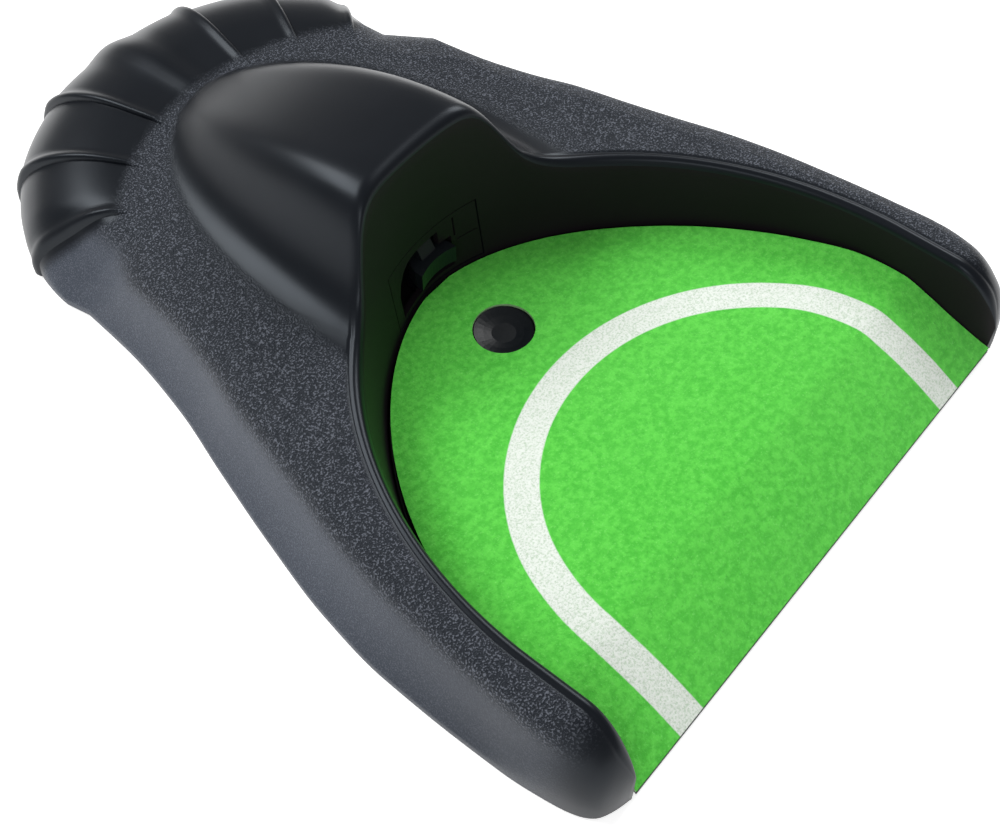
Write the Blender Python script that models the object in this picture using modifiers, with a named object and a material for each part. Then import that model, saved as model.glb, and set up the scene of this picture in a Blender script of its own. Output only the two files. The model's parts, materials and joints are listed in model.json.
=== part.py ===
"""Automatic putting cup: a felt ramp with a target hole, and a kicker that returns the ball.

Sizes are in millimetres. Y runs from the front lip (the straight edge of the ramp) to the tail,
and the frame's origin is on the floor, under the middle of the whole device.
"""

import math

import bmesh
import bpy
import numpy as np
from mathutils import Vector

MM = 0.001

# ---------------------------------------------------------------- driving sizes
LENGTH = 310.5          # front lip to the end of the tail
TAIL_CENTRE_Y = 240.0   # the tail is half an ellipse about this point
TAIL_HALF_WIDTH = 79.0
SHELL = 2.4             # wall of the top housing
CLEARANCE = 0.3         # between pieces that sit side by side
RUNNING_GAP = 0.08      # between a shaft and its bore

HOUSING_BOTTOM_Z = 1.0
LIP_Z = 4.0             # top of the short upright edge round the skirt
DECK_TOP_Z = 32.5       # flat top of the surround, near the recess
TAIL_TOP_Z = 30.5       # and the same near the tail
TAIL_EDGE = 38.0        # width of the rounded edge of the tail
PLATE_LIP = 1.6         # how far the raised end of each tail plate stands over the next plate
PLATE_ANGLE = 14.0      # degrees between the ends of the tail plates
PLATE_CENTRE_Y = 174.0  # the plates fan out from this point
PLATE_INNER = 78.0      # and reach in to this distance from it

RECESS_CENTRE_Y = 38.0
RECESS_HALF_WIDTH = 92.0
RECESS_DEPTH = 114.2    # behind the centre, at the mat
RECESS_POWER = 1.78
RIM_HALF_WIDTH = 92.3
RIM_DEPTH = 116.3       # behind the centre, at the rim
RECESS_LOW_Z = 6.0
RECESS_HIGH_Z = 31.3
WALL_FOOT_Z = 2.6       # bottom of the housing's inner wall
RIM_ROUND = 1.6

HOOD_RISE = 35.0
HOOD_FRONT_Y = 158.0
HOOD_LENGTH = 98.0
HOOD_HALF_WIDTH = 48.5

NOSE_LENGTH = 20.0
NOSE_EDGE = 13.0        # width of the rounded edge of each arm's nose
NOSE_FLARE = 3.2
CAVITY_FRONT_Y = 17.0

BASE_Z = 0.6
BASE_THICKNESS = 1.6
MAT_THICKNESS = 1.0
MAT_GAP = 0.1
DECK_THICKNESS = 1.5

HOLE_Y = 123.0
HOLE_RADIUS = 10.1

KICKER_Y = 164.0
KICKER_Z = 46.0
HEAD_FRONT_Y = 149.5
HEAD_BACK_Y = 159.0
HEAD_HALF_WIDTH = 8.2
HEAD_Z = (13.5, 20.5)

LEVER_PIVOT_Y = 172.0
LEVER_PIVOT_Z = 5.0
LEVER_Z = 3.1
LEVER_THICKNESS = 1.2
LEVER_REAR_Y = 193.0
DISH_RADIUS = 9.7
DISH_RIM_Z = 6.6
DISH_DEPTH = 1.5

GEAR_MODULE = 0.6
PRESSURE_ANGLE = 25.0   # degrees
TOOTH_PLAY = 0.12       # taken off each tooth's thickness
PINION_TEETH = 10
WHEEL_TEETH = 36
CAM_TEETH = 40
SHAFT_RADIUS = 1.5
CAM_SPOT = (192.0, 24.0)
CAM_RADIUS = 12.0
MESH_ANGLES = (-5.0, 10.0, -46.0)   # degrees, from each gear's axis to the next one's
LEFT_PLATE_X = -11.5
RIGHT_PLATE_X = 18.5
PLATE_THICKNESS = 1.5
TIE_SPOTS = [(179.6, 13.2), (212.0, 38.5)]
MOTOR_RADIUS = 10.0
MOTOR_FLAT = 7.5
MOTOR_LENGTH = 25.0

CELL_RADIUS = 7.1
CELL_LENGTH = 49.8
CELL_Z = 9.7
CELL_ROWS = (249.4, 265.0)
BAY = (-52.0, 52.0, 242.0, 272.4)    # inside of the battery compartment: x, then y
BAY_TOP_Z = 17.1
DOOR_SCREW_Y = 277.3

WINDOW = (-22.0, 20.5, 7.0, 31.0)    # in the rear wall: x, then z

SCREW_PLACES = [(101.5, 48.0), (76.0, 142.0), (61.0, 262.0)]
FOOT_PLACES = [(100.0, 30.0), (35.0, 288.0)]
BOSS_RADIUS = 3.6
BOSS_FOOT_Z = 2.6
SCREW_RADIUS = 1.4
SCREW_DEPTH = 12.0

FRONT_Y = -(0.3 + LENGTH + PLATE_LIP) / 2     # puts the origin under the middle


# ---------------------------------------------------------------- scene and helpers
for leftover in list(bpy.data.objects):
    bpy.data.objects.remove(leftover)

parts = bpy.data.collections.new("automatic_putting_cup")
cutters = bpy.data.collections.new("cutters")
bpy.context.scene.collection.children.link(parts)
bpy.context.scene.collection.children.link(cutters)


def plastic(name, colour, roughness=0.5, metallic=0.0):
    material = bpy.data.materials.new(name)
    material.use_nodes = True
    shader = material.node_tree.nodes["Principled BSDF"]
    shader.inputs["Base Color"].default_value = (*colour, 1.0)
    shader.inputs["Roughness"].default_value = roughness
    shader.inputs["Metallic"].default_value = metallic
    material.diffuse_color = (*colour, 1.0)
    return material


HOUSING_BLACK = plastic("housing_black", (0.020, 0.022, 0.027), 0.42)
BASE_BLACK = plastic("base_black", (0.015, 0.015, 0.016), 0.60)
FELT_GREEN = plastic("felt_green", (0.06, 0.52, 0.03), 0.95)
KICKER_GREY = plastic("kicker_grey", (0.035, 0.037, 0.042), 0.40)
GEAR_WHITE = plastic("gear_white", (0.80, 0.79, 0.74), 0.45)
STEEL = plastic("steel", (0.60, 0.60, 0.60), 0.30, 1.0)
BRASS = plastic("brass", (0.72, 0.52, 0.20), 0.32, 1.0)
BOARD_GREEN = plastic("board_green", (0.02, 0.16, 0.07), 0.40)
RUBBER_BLACK = plastic("rubber_black", (0.02, 0.02, 0.02), 0.85)
CELL_BLUE = plastic("cell_sleeve", (0.05, 0.09, 0.20), 0.35)
WIRE_RED = plastic("wire_red", (0.45, 0.02, 0.02), 0.50)
WIRE_BLACK = plastic("wire_black", (0.02, 0.02, 0.02), 0.50)


def world(point):
    """A point in the design's millimetres, moved to the frame's metres."""
    x, y, z = point
    return Vector((x * MM, (y + FRONT_Y) * MM, z * MM))


def add_object(name, mesh, material, origin=(0.0, -FRONT_Y, 0.0), helper=False):
    """Links a mesh whose points are metres from `origin`, itself in design millimetres."""
    thing = bpy.data.objects.new(name, mesh)
    thing.location = world(origin)
    if material is not None:
        mesh.materials.append(material)
    (cutters if helper else parts).objects.link(thing)
    if helper:
        thing.hide_render = True
        thing.display_type = "WIRE"
    return thing


def mesh_from(name, points, faces, origin=(0.0, -FRONT_Y, 0.0)):
    """A closed mesh from design points; its faces are turned outwards."""
    mesh = bpy.data.meshes.new(name)
    shift = world(origin)
    mesh.from_pydata([world(p) - shift for p in points], [], faces)
    shape = bmesh.new()
    shape.from_mesh(mesh)
    bmesh.ops.recalc_face_normals(shape, faces=shape.faces)
    shape.to_mesh(mesh)
    shape.free()
    return mesh


def loft(name, sections, material, origin=(0.0, -FRONT_Y, 0.0), helper=False):
    """Closed sections of equal length, joined in order and capped at both ends."""
    count = len(sections[0])
    points = [point for section in sections for point in section]
    faces = []
    for row in range(len(sections) - 1):
        low = row * count
        for i in range(count):
            j = (i + 1) % count
            faces.append((low + i, low + j, low + count + j, low + count + i))
    faces.append(tuple(range(count)))
    faces.append(tuple(range(len(points) - count, len(points))))
    return add_object(name, mesh_from(name, points, faces, origin), material, origin, helper)


def prism(name, outline, low, high, material, along="Z", origin=(0.0, -FRONT_Y, 0.0), helper=False):
    """A flat outline pushed from low to high along Z, or along X for an outline in (y, z)."""
    if along == "Z":
        sections = [[(x, y, level) for x, y in outline] for level in (low, high)]
    else:
        sections = [[(level, y, z) for y, z in outline] for level in (low, high)]
    return loft(name, sections, material, origin, helper)


def circle(radius, centre=(0.0, 0.0), sides=24):
    """Points of a regular polygon, for a flat outline."""
    turns = [2 * math.pi * (i + 0.5) / sides for i in range(sides)]
    return [(centre[0] + radius * math.cos(t), centre[1] + radius * math.sin(t)) for t in turns]


def rod(name, radius, start, end, material, centre, sides=24, helper=False, origin=None):
    """A cylinder along X, at centre (y, z)."""
    spot = origin or (0.0, centre[0], centre[1])
    return prism(name, circle(radius, centre, sides), start, end, material, "X", spot, helper)


def post(name, radius, low, high, material, centre, sides=24, helper=False):
    """A cylinder along Z, at centre (x, y)."""
    spot = (centre[0], centre[1], low)
    return prism(name, circle(radius, centre, sides), low, high, material, "Z", spot, helper)


def block(name, low, high, material, origin=None, bevel=0.0, helper=False):
    """A box between two corners, with its edges rounded when bevel is given."""
    middle = [(a + b) / 2 for a, b in zip(low, high)]
    spot = origin or middle
    shape = bmesh.new()
    bmesh.ops.create_cube(shape, size=1.0)
    size = [(b - a) * MM for a, b in zip(low, high)]
    bmesh.ops.scale(shape, vec=size, verts=shape.verts)
    bmesh.ops.translate(shape, vec=world(middle) - world(spot), verts=shape.verts)
    mesh = bpy.data.meshes.new(name)
    shape.to_mesh(mesh)
    shape.free()
    thing = add_object(name, mesh, material, spot, helper)
    if bevel:
        edge = thing.modifiers.new("round", "BEVEL")
        edge.width = bevel * MM
        edge.segments = 2
    return thing


def turned(name, profile, material, place, steps=20, flip=False):
    """A profile of (radius, height) pairs, top to bottom, turned about Z at place."""
    mesh = bpy.data.meshes.new(name)
    sign = -1.0 if flip else 1.0
    pairs = list(reversed(profile)) if flip else profile
    points = [(radius * MM, 0.0, sign * height * MM) for radius, height in pairs]
    mesh.from_pydata(points, [(i, i + 1) for i in range(len(points) - 1)], [])
    thing = add_object(name, mesh, material, place)
    screw = thing.modifiers.new("turn", "SCREW")
    screw.steps = steps
    screw.render_steps = steps
    screw.use_merge_vertices = True
    screw.merge_threshold = 0.00001
    return thing


def boolean(target, tool, operation):
    modifier = target.modifiers.new(operation.lower(), "BOOLEAN")
    modifier.operation = operation
    modifier.solver = "EXACT"
    modifier.object = tool


def cut(target, *tools):
    for tool in tools:
        boolean(target, tool, "DIFFERENCE")


def join(target, *tools):
    for tool in tools:
        boolean(target, tool, "UNION")


def smooth(thing, angle=35.0):
    thing.data.shade_smooth()
    thing.data.set_sharp_from_angle(angle=math.radians(angle))


def ease(value):
    """Smooth step from 0 to 1."""
    t = min(1.0, max(0.0, value))
    return t * t * (3 - 2 * t)


def read_curve(keys, value):
    """A value read from (place, value) keys, eased between them by a monotone cubic."""
    places = np.array([k[0] for k in keys])
    values = np.array([k[1] for k in keys])
    steps = np.diff(values) / np.diff(places)
    slopes = np.zeros(len(keys))
    for i in range(1, len(keys) - 1):
        if steps[i - 1] * steps[i] > 0:
            slopes[i] = 2 * steps[i - 1] * steps[i] / (steps[i - 1] + steps[i])
    slopes[0], slopes[-1] = steps[0], steps[-1]
    value = min(max(value, places[0]), places[-1])
    i = min(int(np.searchsorted(places, value, side="right")) - 1, len(keys) - 2)
    width = places[i + 1] - places[i]
    t = (value - places[i]) / width
    low = (2 * t**3 - 3 * t**2 + 1) * values[i] + (t**3 - 2 * t**2 + t) * width * slopes[i]
    high = (3 * t**2 - 2 * t**3) * values[i + 1] + (t**3 - t**2) * width * slopes[i + 1]
    return float(low + high)


# ---------------------------------------------------------------- the housing's surface
# The side of the outline, from the waist to the nose: place along it, x, y.
SIDE = [
    (0.00, 77.2, 236.0), (0.10, 79.8, 211.0), (0.20, 85.3, 184.0), (0.30, 93.6, 157.0),
    (0.40, 101.8, 129.0), (0.50, 108.8, 101.0), (0.60, 112.4, 75.0), (0.70, 113.0, 51.0),
    (0.78, 112.7, 32.0), (0.85, 111.3, 18.0), (0.90, 109.5, 9.5), (0.94, 106.6, 4.4),
    (0.97, 101.6, 1.8), (1.00, 96.4, 0.4),
]
# The rim's angle round the recess at those places, until its straight stretch starts.
SIDE_ANGLES = [
    (0.00, 30.0), (0.10, 32.0), (0.20, 35.0), (0.30, 39.5), (0.40, 46.5), (0.50, 57.0),
    (0.60, 69.5), (0.70, 82.0), (0.74, 90.0),
]
# Distance behind the front lip of the rim's straight stretch.
SIDE_STRAIGHTS = [
    (0.74, RECESS_CENTRE_Y), (0.78, 30.0), (0.85, 17.0), (0.90, 10.0), (0.94, 5.6), (0.97, 2.8),
    (1.00, 1.0),
]
SKIRT_WIDTHS = [(20.0, 5.0), (40.0, 6.5), (60.0, 8.5), (85.0, 10.0), (165.0, 10.5), (190.0, 13.5),
                (212.0, 17.0), (236.0, 21.0), (256.0, 24.0)]
# Height of the skirt: share of its width, share of its height.
SKIRT_PROFILE = [(0.0, 0.0), (0.30, 0.15), (0.60, 0.37), (0.85, 0.66), (1.05, 0.86), (1.35, 0.955),
                 (1.9, 1.0)]
# Slices of half the tail: bearing from the middle of the fan, share of the plate's raised lip.
PLATE_SLICES = [
    (0.0, 1.0), (1.8, 0.55), (4.5, 0.1), (7.5, 0.0), (10.0, 0.3), (12.3, 0.8), (13.7, 1.0),
    (14.3, 0.0), (19.0, 0.0), (24.0, 0.3), (26.3, 0.8), (27.7, 1.0), (28.3, 0.0), (33.0, 0.0),
    (38.0, 0.3), (40.3, 0.8), (41.7, 1.0), (42.3, 0.0), (45.5, 0.0), (48.4, 0.0),
]


def tail_outline(bearing, out=0.0):
    """Where a line from the middle of the fan meets the tail's outline; `out` moves it outwards."""
    low, high = 0.0, math.pi / 2
    for _ in range(40):
        turn = (low + high) / 2
        x = TAIL_HALF_WIDTH * math.sin(turn)
        y = TAIL_CENTRE_Y + (LENGTH - TAIL_CENTRE_Y) * math.cos(turn)
        if math.degrees(math.atan2(x, y - PLATE_CENTRE_Y)) < abs(bearing):
            low = turn
        else:
            high = turn
    size = math.hypot(x, y - PLATE_CENTRE_Y)
    grow = (size + out) / size
    return math.copysign(x * grow, bearing), PLATE_CENTRE_Y + (y - PLATE_CENTRE_Y) * grow


def side_outline(place):
    return (read_curve([(k[0], k[1]) for k in SIDE], place),
            read_curve([(k[0], k[2]) for k in SIDE], place))


def recess_wall(angle, straight_y, z):
    """A point of the recess's wall at height z: by angle round its back, or along an arm."""
    lean = (z - RECESS_LOW_Z) / (RECESS_HIGH_Z - RECESS_LOW_Z)
    if straight_y is not None:
        flare = NOSE_FLARE * max(0.0, 1 - straight_y / NOSE_LENGTH) ** 2
        x = RECESS_HALF_WIDTH + (RIM_HALF_WIDTH - RECESS_HALF_WIDTH) * lean + flare
        return x, straight_y
    turn = math.radians(angle)
    power = 2 / RECESS_POWER
    side = math.copysign(1.0, turn)
    low = (side * RECESS_HALF_WIDTH * abs(math.sin(turn)) ** power,
           RECESS_CENTRE_Y + RECESS_DEPTH * max(0.0, math.cos(turn)) ** power)
    high = (RIM_HALF_WIDTH * math.sin(turn), RECESS_CENTRE_Y + RIM_DEPTH * math.cos(turn))
    return low[0] + (high[0] - low[0]) * lean, low[1] + (high[1] - low[1]) * lean


def surround_top(y):
    """Height of the flat surround; it falls to nothing over the rounded nose of each arm."""
    flat = DECK_TOP_Z - (DECK_TOP_Z - TAIL_TOP_Z) * ease((y - 150.0) / 100.0)
    nose = max(0.0, 1 - y / NOSE_LENGTH)
    return LIP_Z + (flat - LIP_Z) * math.sqrt(max(0.0, 1 - nose**1.9))


def hood_rise(x, y, wall=0.0):
    """How far the hood stands over the surround; with a wall, its inside surface."""
    back = (y - HOOD_FRONT_Y + wall) / HOOD_LENGTH
    if back >= 1:
        return 0.0
    spread = min(1.0, max(0.0, (y - 150.0 + wall) / (HOOD_FRONT_Y + HOOD_LENGTH - 150.0)))
    half = (HOOD_HALF_WIDTH - 4.0 * spread) * math.sqrt(1 - spread**3.3)
    half = max(half - wall, 0.5)
    crown = HOOD_RISE * (1 - max(0.0, back) ** 1.7)
    return crown / (1 + (abs(x) / (0.70 * half)) ** (8 - 3 * spread**4))


class Station:
    """One slice of the housing, from the outline in to the rim of the recess."""

    def __init__(self, outer, angle, straight_y, tail_share=0.0, lip=0.0, knee=None):
        self.outer, self.angle, self.straight_y = outer, angle, straight_y
        self.tail_share, self.lip = tail_share, lip
        z = DECK_TOP_Z
        for _ in range(12):
            self.rim = recess_wall(angle, straight_y, z)
            z = surround_top(self.rim[1]) + hood_rise(*self.rim)
        self.rim_z = z
        middle = [0.6 * o + 0.4 * r for o, r in zip(self.outer, self.rim)]
        self.knee = knee or middle
        self.first = math.dist(self.outer, self.knee)
        self.span = self.first + math.dist(self.knee, self.rim)
        self.foot = self.span - 9.0
        self.hooded = hood_rise(*self.rim) > 1.0
        while self.hooded and hood_rise(*self.at(self.foot)) > 0.8:
            self.foot -= 1.0

    def at(self, distance):
        """The place in plan at a distance in from the outline."""
        if distance < self.first:
            start, end, share = self.outer, self.knee, distance / self.first
        else:
            start, end = self.knee, self.rim
            share = (distance - self.first) / (self.span - self.first)
        return tuple(a + (b - a) * share for a, b in zip(start, end))

    def height(self, distance, wall=0.0):
        """Height of the outer surface, or of the inner one where a wall is given."""
        x, y = self.at(min(max(distance, 0.0), self.span))
        depth = max(0.0, distance - wall)
        skirt = min(read_curve(SKIRT_WIDTHS, self.outer[1]), 0.62 * self.span)
        concave = read_curve(SKIRT_PROFILE, depth / skirt)
        tail = math.sqrt(1 - max(0.0, 1 - depth / TAIL_EDGE) ** 2)
        nose = math.sqrt(1 - max(0.0, 1 - depth / min(NOSE_EDGE, 0.8 * self.span)) ** 2)
        nose_share = ease((42.0 - self.outer[1]) / 32.0)
        share = concave + (tail - concave) * self.tail_share + (nose - concave) * nose_share
        top = surround_top(y)
        reach = math.hypot(x, y - PLATE_CENTRE_Y)
        fade = ease((reach - PLATE_INNER) / 8.0) * ease(depth / 5.0)
        lip = 0.0 if wall else PLATE_LIP * self.lip * fade
        return LIP_Z + (top - LIP_Z) * share + lip - wall + hood_rise(x, y, 0.6 * wall)


def make_stations():
    """Stations of the right side from the waist to the nose, and those of the tail."""
    side = []
    for place in np.concatenate([np.linspace(0.03, 0.74, 16), np.linspace(0.78, 1.0, 8)]):
        if place <= 0.74:
            angle, straight = read_curve(SIDE_ANGLES, place), None
        else:
            angle, straight = 90.0, read_curve(SIDE_STRAIGHTS, place)
        side.append(Station(side_outline(place), angle, straight))
    tail = []
    mirrored = [(-bearing, lip) for bearing, lip in reversed(PLATE_SLICES[1:])]
    for bearing, lip in mirrored + PLATE_SLICES:
        turn = math.radians(bearing)
        knee = (PLATE_INNER * math.sin(turn), PLATE_CENTRE_Y + PLATE_INNER * math.cos(turn))
        share = ease((50.0 - abs(bearing)) / 14.0)
        angle = 29.6 * bearing / PLATE_SLICES[-1][0]
        outer = tail_outline(bearing, PLATE_LIP * lip)
        tail.append(Station(outer, angle, None, share, lip, knee))
    return side, tail


EDGE_SHARES = [0.0, 0.09, 0.21, 0.36, 0.53, 0.75, 1.0]
FLAT_SHARES = [0.25, 0.5, 0.75, 1.0]
HOOD_SHARES = [0.10, 0.20, 0.31, 0.43, 0.58, 0.78, 1.0]
WALL_SHARES = [0.0, 0.35, 0.70, 1.0]


def push_out(station, x, y, amount):
    """Moves a point of the recess's wall outwards, square to the wall."""
    if station.straight_y is not None:
        return x + amount, y
    turn = math.radians(station.angle)
    normal = (math.sin(turn) / RIM_HALF_WIDTH, math.cos(turn) / RIM_DEPTH)
    size = math.hypot(*normal)
    return x + amount * normal[0] / size, y + amount * normal[1] / size


def slice_of(station, wall=0.0):
    """The closed slice of the housing at a station, or of the space inside it."""
    edge = min(TAIL_EDGE, 0.60 * station.span)
    last = station.span - (2.0 * wall if wall else RIM_ROUND)
    foot = max(edge + 3.0, station.foot) if station.hooded else edge + 0.5 * (last - edge)
    foot_z = -5.0 if wall else HOUSING_BOTTOM_Z
    reaches = [wall + (edge - wall) * share for share in EDGE_SHARES[:: 2 if wall else 1]]
    reaches += [edge + (foot - edge) * share for share in FLAT_SHARES[1 if wall else 0:: 2 if wall else 1]]
    reaches += [foot + (last - foot) * share for share in HOOD_SHARES[1::2] if wall]
    reaches += [foot + (last - foot) * share for share in HOOD_SHARES if not wall]
    points = [(*station.at(wall), foot_z)]
    points += [(*station.at(d), station.height(d, wall)) for d in reaches]
    top = station.rim_z - (wall + 1.5 if wall else RIM_ROUND)
    bottom = foot_z if wall else WALL_FOOT_Z
    if not wall:
        turn = 0.3 * RIM_ROUND
        points.append((*station.at(station.span - turn), station.rim_z - turn))
    for share in WALL_SHARES:
        z = top + (bottom - top) * share
        x, y = recess_wall(station.angle, station.straight_y, z)
        points.append((*push_out(station, x, y, wall), z))
    return points


SIDE_STATIONS, TAIL_STATIONS = make_stations()


def whole_loop(wall=0.0, front=0.0):
    """Slices from the nose of the left arm, round the tail, to the nose of the right arm."""
    right = [slice_of(s, wall) for s in SIDE_STATIONS if s.rim[1] >= front]
    left = [[(-x, y, z) for x, y, z in points] for points in reversed(right)]
    return left + [slice_of(s, wall) for s in TAIL_STATIONS] + right


def inside_height(x, y):
    """Height of the housing's inner surface over a place in plan, from the nearest slice."""
    best = None
    for station in SIDE_STATIONS + TAIL_STATIONS:
        for step in range(41):
            d = station.span * step / 40
            gap = math.dist(station.at(d), (abs(x), y))
            if best is None or gap < best[0]:
                best = (gap, station.height(d, SHELL))
    return best[1]


def make_housing():
    """The one-piece cover: skirt, surround, hood and recess wall, hollow from below."""
    housing = loft("top_housing", whole_loop(), HOUSING_BLACK)
    space = loft("housing_space", whole_loop(SHELL, CAVITY_FRONT_Y), None, helper=True)
    cut(housing, space)
    for number, (x, y) in enumerate(SCREW_PLACES):
        roof = inside_height(x, y) + 0.6 * SHELL
        for side in (-1, 1):
            tower = post(f"boss_{number}_{side}", BOSS_RADIUS, BOSS_FOOT_Z, roof, None,
                         (side * x, y), 16, helper=True)
            join(housing, tower)
            bore = post(f"boss_bore_{number}_{side}", SCREW_RADIUS + 0.05, BOSS_FOOT_Z - 1,
                        BOSS_FOOT_Z + SCREW_DEPTH, None, (side * x, y), 16, helper=True)
            cut(housing, bore)
    window = block("window", (WINDOW[0], 146.0, WINDOW[2]), (WINDOW[1], 166.0, WINDOW[3]), None,
                   helper=True)
    notch = block("lever_notch", (-6.0, 146.0, 0.0), (6.0, 160.0, 5.4), None, helper=True)
    cut(housing, window, notch)
    return housing


# ---------------------------------------------------------------- more helpers
def tube(name, radius, path, material, sides=8, helper=False):
    """A round bar along a path of points."""
    path = [Vector(point) for point in path]
    sections = []
    across = Vector((0.0, 0.0, 1.0))
    for i, point in enumerate(path):
        ahead = path[min(i + 1, len(path) - 1)] - path[max(i - 1, 0)]
        ahead.normalize()
        across = across - ahead * across.dot(ahead)
        if across.length < 0.05:
            across = ahead.orthogonal()
        across.normalize()
        beside = ahead.cross(across)
        ring = []
        for k in range(sides):
            turn = 2 * math.pi * k / sides
            ring.append(tuple(point + radius * (math.cos(turn) * across + math.sin(turn) * beside)))
        sections.append(ring)
    return loft(name, sections, material, helper=helper)


def rounded_path(corners, radius, steps):
    """A path through corners, each rounded by a curve that starts `radius` away from it."""
    path = [Vector(corners[0])]
    for before, corner, after in zip(corners, corners[1:], corners[2:]):
        before, corner, after = Vector(before), Vector(corner), Vector(after)
        start = corner + (before - corner).normalized() * radius
        end = corner + (after - corner).normalized() * radius
        for i in range(steps + 1):
            t = i / steps
            path.append(start * (1 - t) ** 2 + corner * 2 * t * (1 - t) + end * t**2)
    path.append(Vector(corners[-1]))
    return path


def gear_outline(teeth, centre, phase):
    """Involute teeth about a centre; the first tooth points at `phase` radians."""
    pitch = GEAR_MODULE * teeth / 2
    base = pitch * math.cos(math.radians(PRESSURE_ANGLE))
    tip, root = pitch + 0.80 * GEAR_MODULE, pitch - 1.12 * GEAR_MODULE
    pressure = math.radians(PRESSURE_ANGLE)
    at_pitch = math.pi / (2 * teeth) - TOOTH_PLAY / (2 * pitch) + math.tan(pressure) - pressure

    def half_angle(radius):
        lean = math.acos(min(1.0, base / max(radius, base)))
        return at_pitch - (math.tan(lean) - lean)

    radii = [root, max(base, root + 0.1), (base + tip) / 2 + 0.05, tip]
    if teeth > 20:
        radii = [root, pitch, tip]
    points = []
    for tooth in range(teeth):
        middle = phase + 2 * math.pi * tooth / teeth
        turns = [(r, middle - half_angle(r)) for r in radii]
        turns += [(r, middle + half_angle(r)) for r in reversed(radii)]
        points += [(centre[0] + r * math.cos(t), centre[1] + r * math.sin(t)) for r, t in turns]
    return points


def gear(name, teeth, start, end, centre, phase, helper=False):
    """A toothed wheel about an axis along X, at centre (y, z)."""
    outline = gear_outline(teeth, centre, phase)
    spot = (0.0, *centre)
    return prism(name, outline, start, end, GEAR_WHITE, "X", spot, helper)


# ---------------------------------------------------------------- housing, base and felt
MAT_TOP = [
    (0.0, 2.8), (11.4, 9.2), (22.8, 14.0), (34.2, 17.0), (47.5, 16.7), (66.5, 14.0), (95.0, 10.2),
    (123.0, 7.5), (153.0, 6.3),
]
RAMP_FRONT = [0.3, 2.5, 5.0, 8.0, 11.0, 15.0, 20.0, 26.0, 32.0, 38.0]
RAMP_ANGLES = [85.0, 79.0, 72.0, 65.0, 58.0, 51.0, 44.0, 37.0, 30.0, 23.0, 16.0, 10.0, 6.0]


def ramp_edge(inset):
    """Half-width and distance from the front of the ramp's edge, moved in from the wall's foot."""
    edge = []
    for y in RAMP_FRONT:
        edge.append((recess_wall(90.0, y, WALL_FOOT_Z)[0] - inset, y))
    for angle in RAMP_ANGLES:
        x, y = recess_wall(angle, None, WALL_FOOT_Z)
        ahead = recess_wall(angle - 0.5, None, WALL_FOOT_Z)
        along = (ahead[0] - x, ahead[1] - y)
        size = math.hypot(*along)
        edge.append((x - inset * along[1] / size, y + inset * along[0] / size))
    return edge


def ramp_strip(name, inset, top_drop, bottom, material, helper=False, front=0.0):
    """The ramp's surface between its edges, from `top_drop` under it down to `bottom(y)`."""
    sections = []
    for x, y in ramp_edge(inset):
        if y < front:
            continue
        top = read_curve(MAT_TOP, y) - top_drop
        low = bottom(y)
        sections.append([(-x, y, low), (-x, y, top), (0.0, y, top), (x, y, top), (x, y, low),
                         (0.0, y, low)])
    return loft(name, sections, material, helper=helper)


def make_mat():
    mat = ramp_strip("putting_mat", 0.4, 0.0, lambda y: read_curve(MAT_TOP, y) - MAT_THICKNESS,
                     FELT_GREEN)
    hole = post("mat_hole", HOLE_RADIUS, 0.0, 20.0, None, (0.0, HOLE_Y), 48, helper=True)
    cut(mat, hole)
    return mat


def plate_outline():
    """Outline of the tray: inside the housing's skirt, and up to the ramp in front."""
    inset = SHELL + 1.8
    hollow = [s for s in SIDE_STATIONS if s.rim[1] >= CAVITY_FRONT_Y]
    front = max(hollow[-1].rim[1], hollow[-1].outer[1]) + 1.5
    right = [(91.2, 7.0), (91.2, front)]
    right += [s.at(inset) for s in reversed(hollow) if s.at(inset)[1] > front + 0.5]
    right.insert(2, (right[2][0] - 1.0, front))
    round_tail = []
    for bearing in range(45, -46, -6):
        round_tail.append(tail_outline(float(bearing) or 0.001, -inset))
    left = [(-x, y) for x, y in reversed(right)]
    return right + round_tail + left


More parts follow.
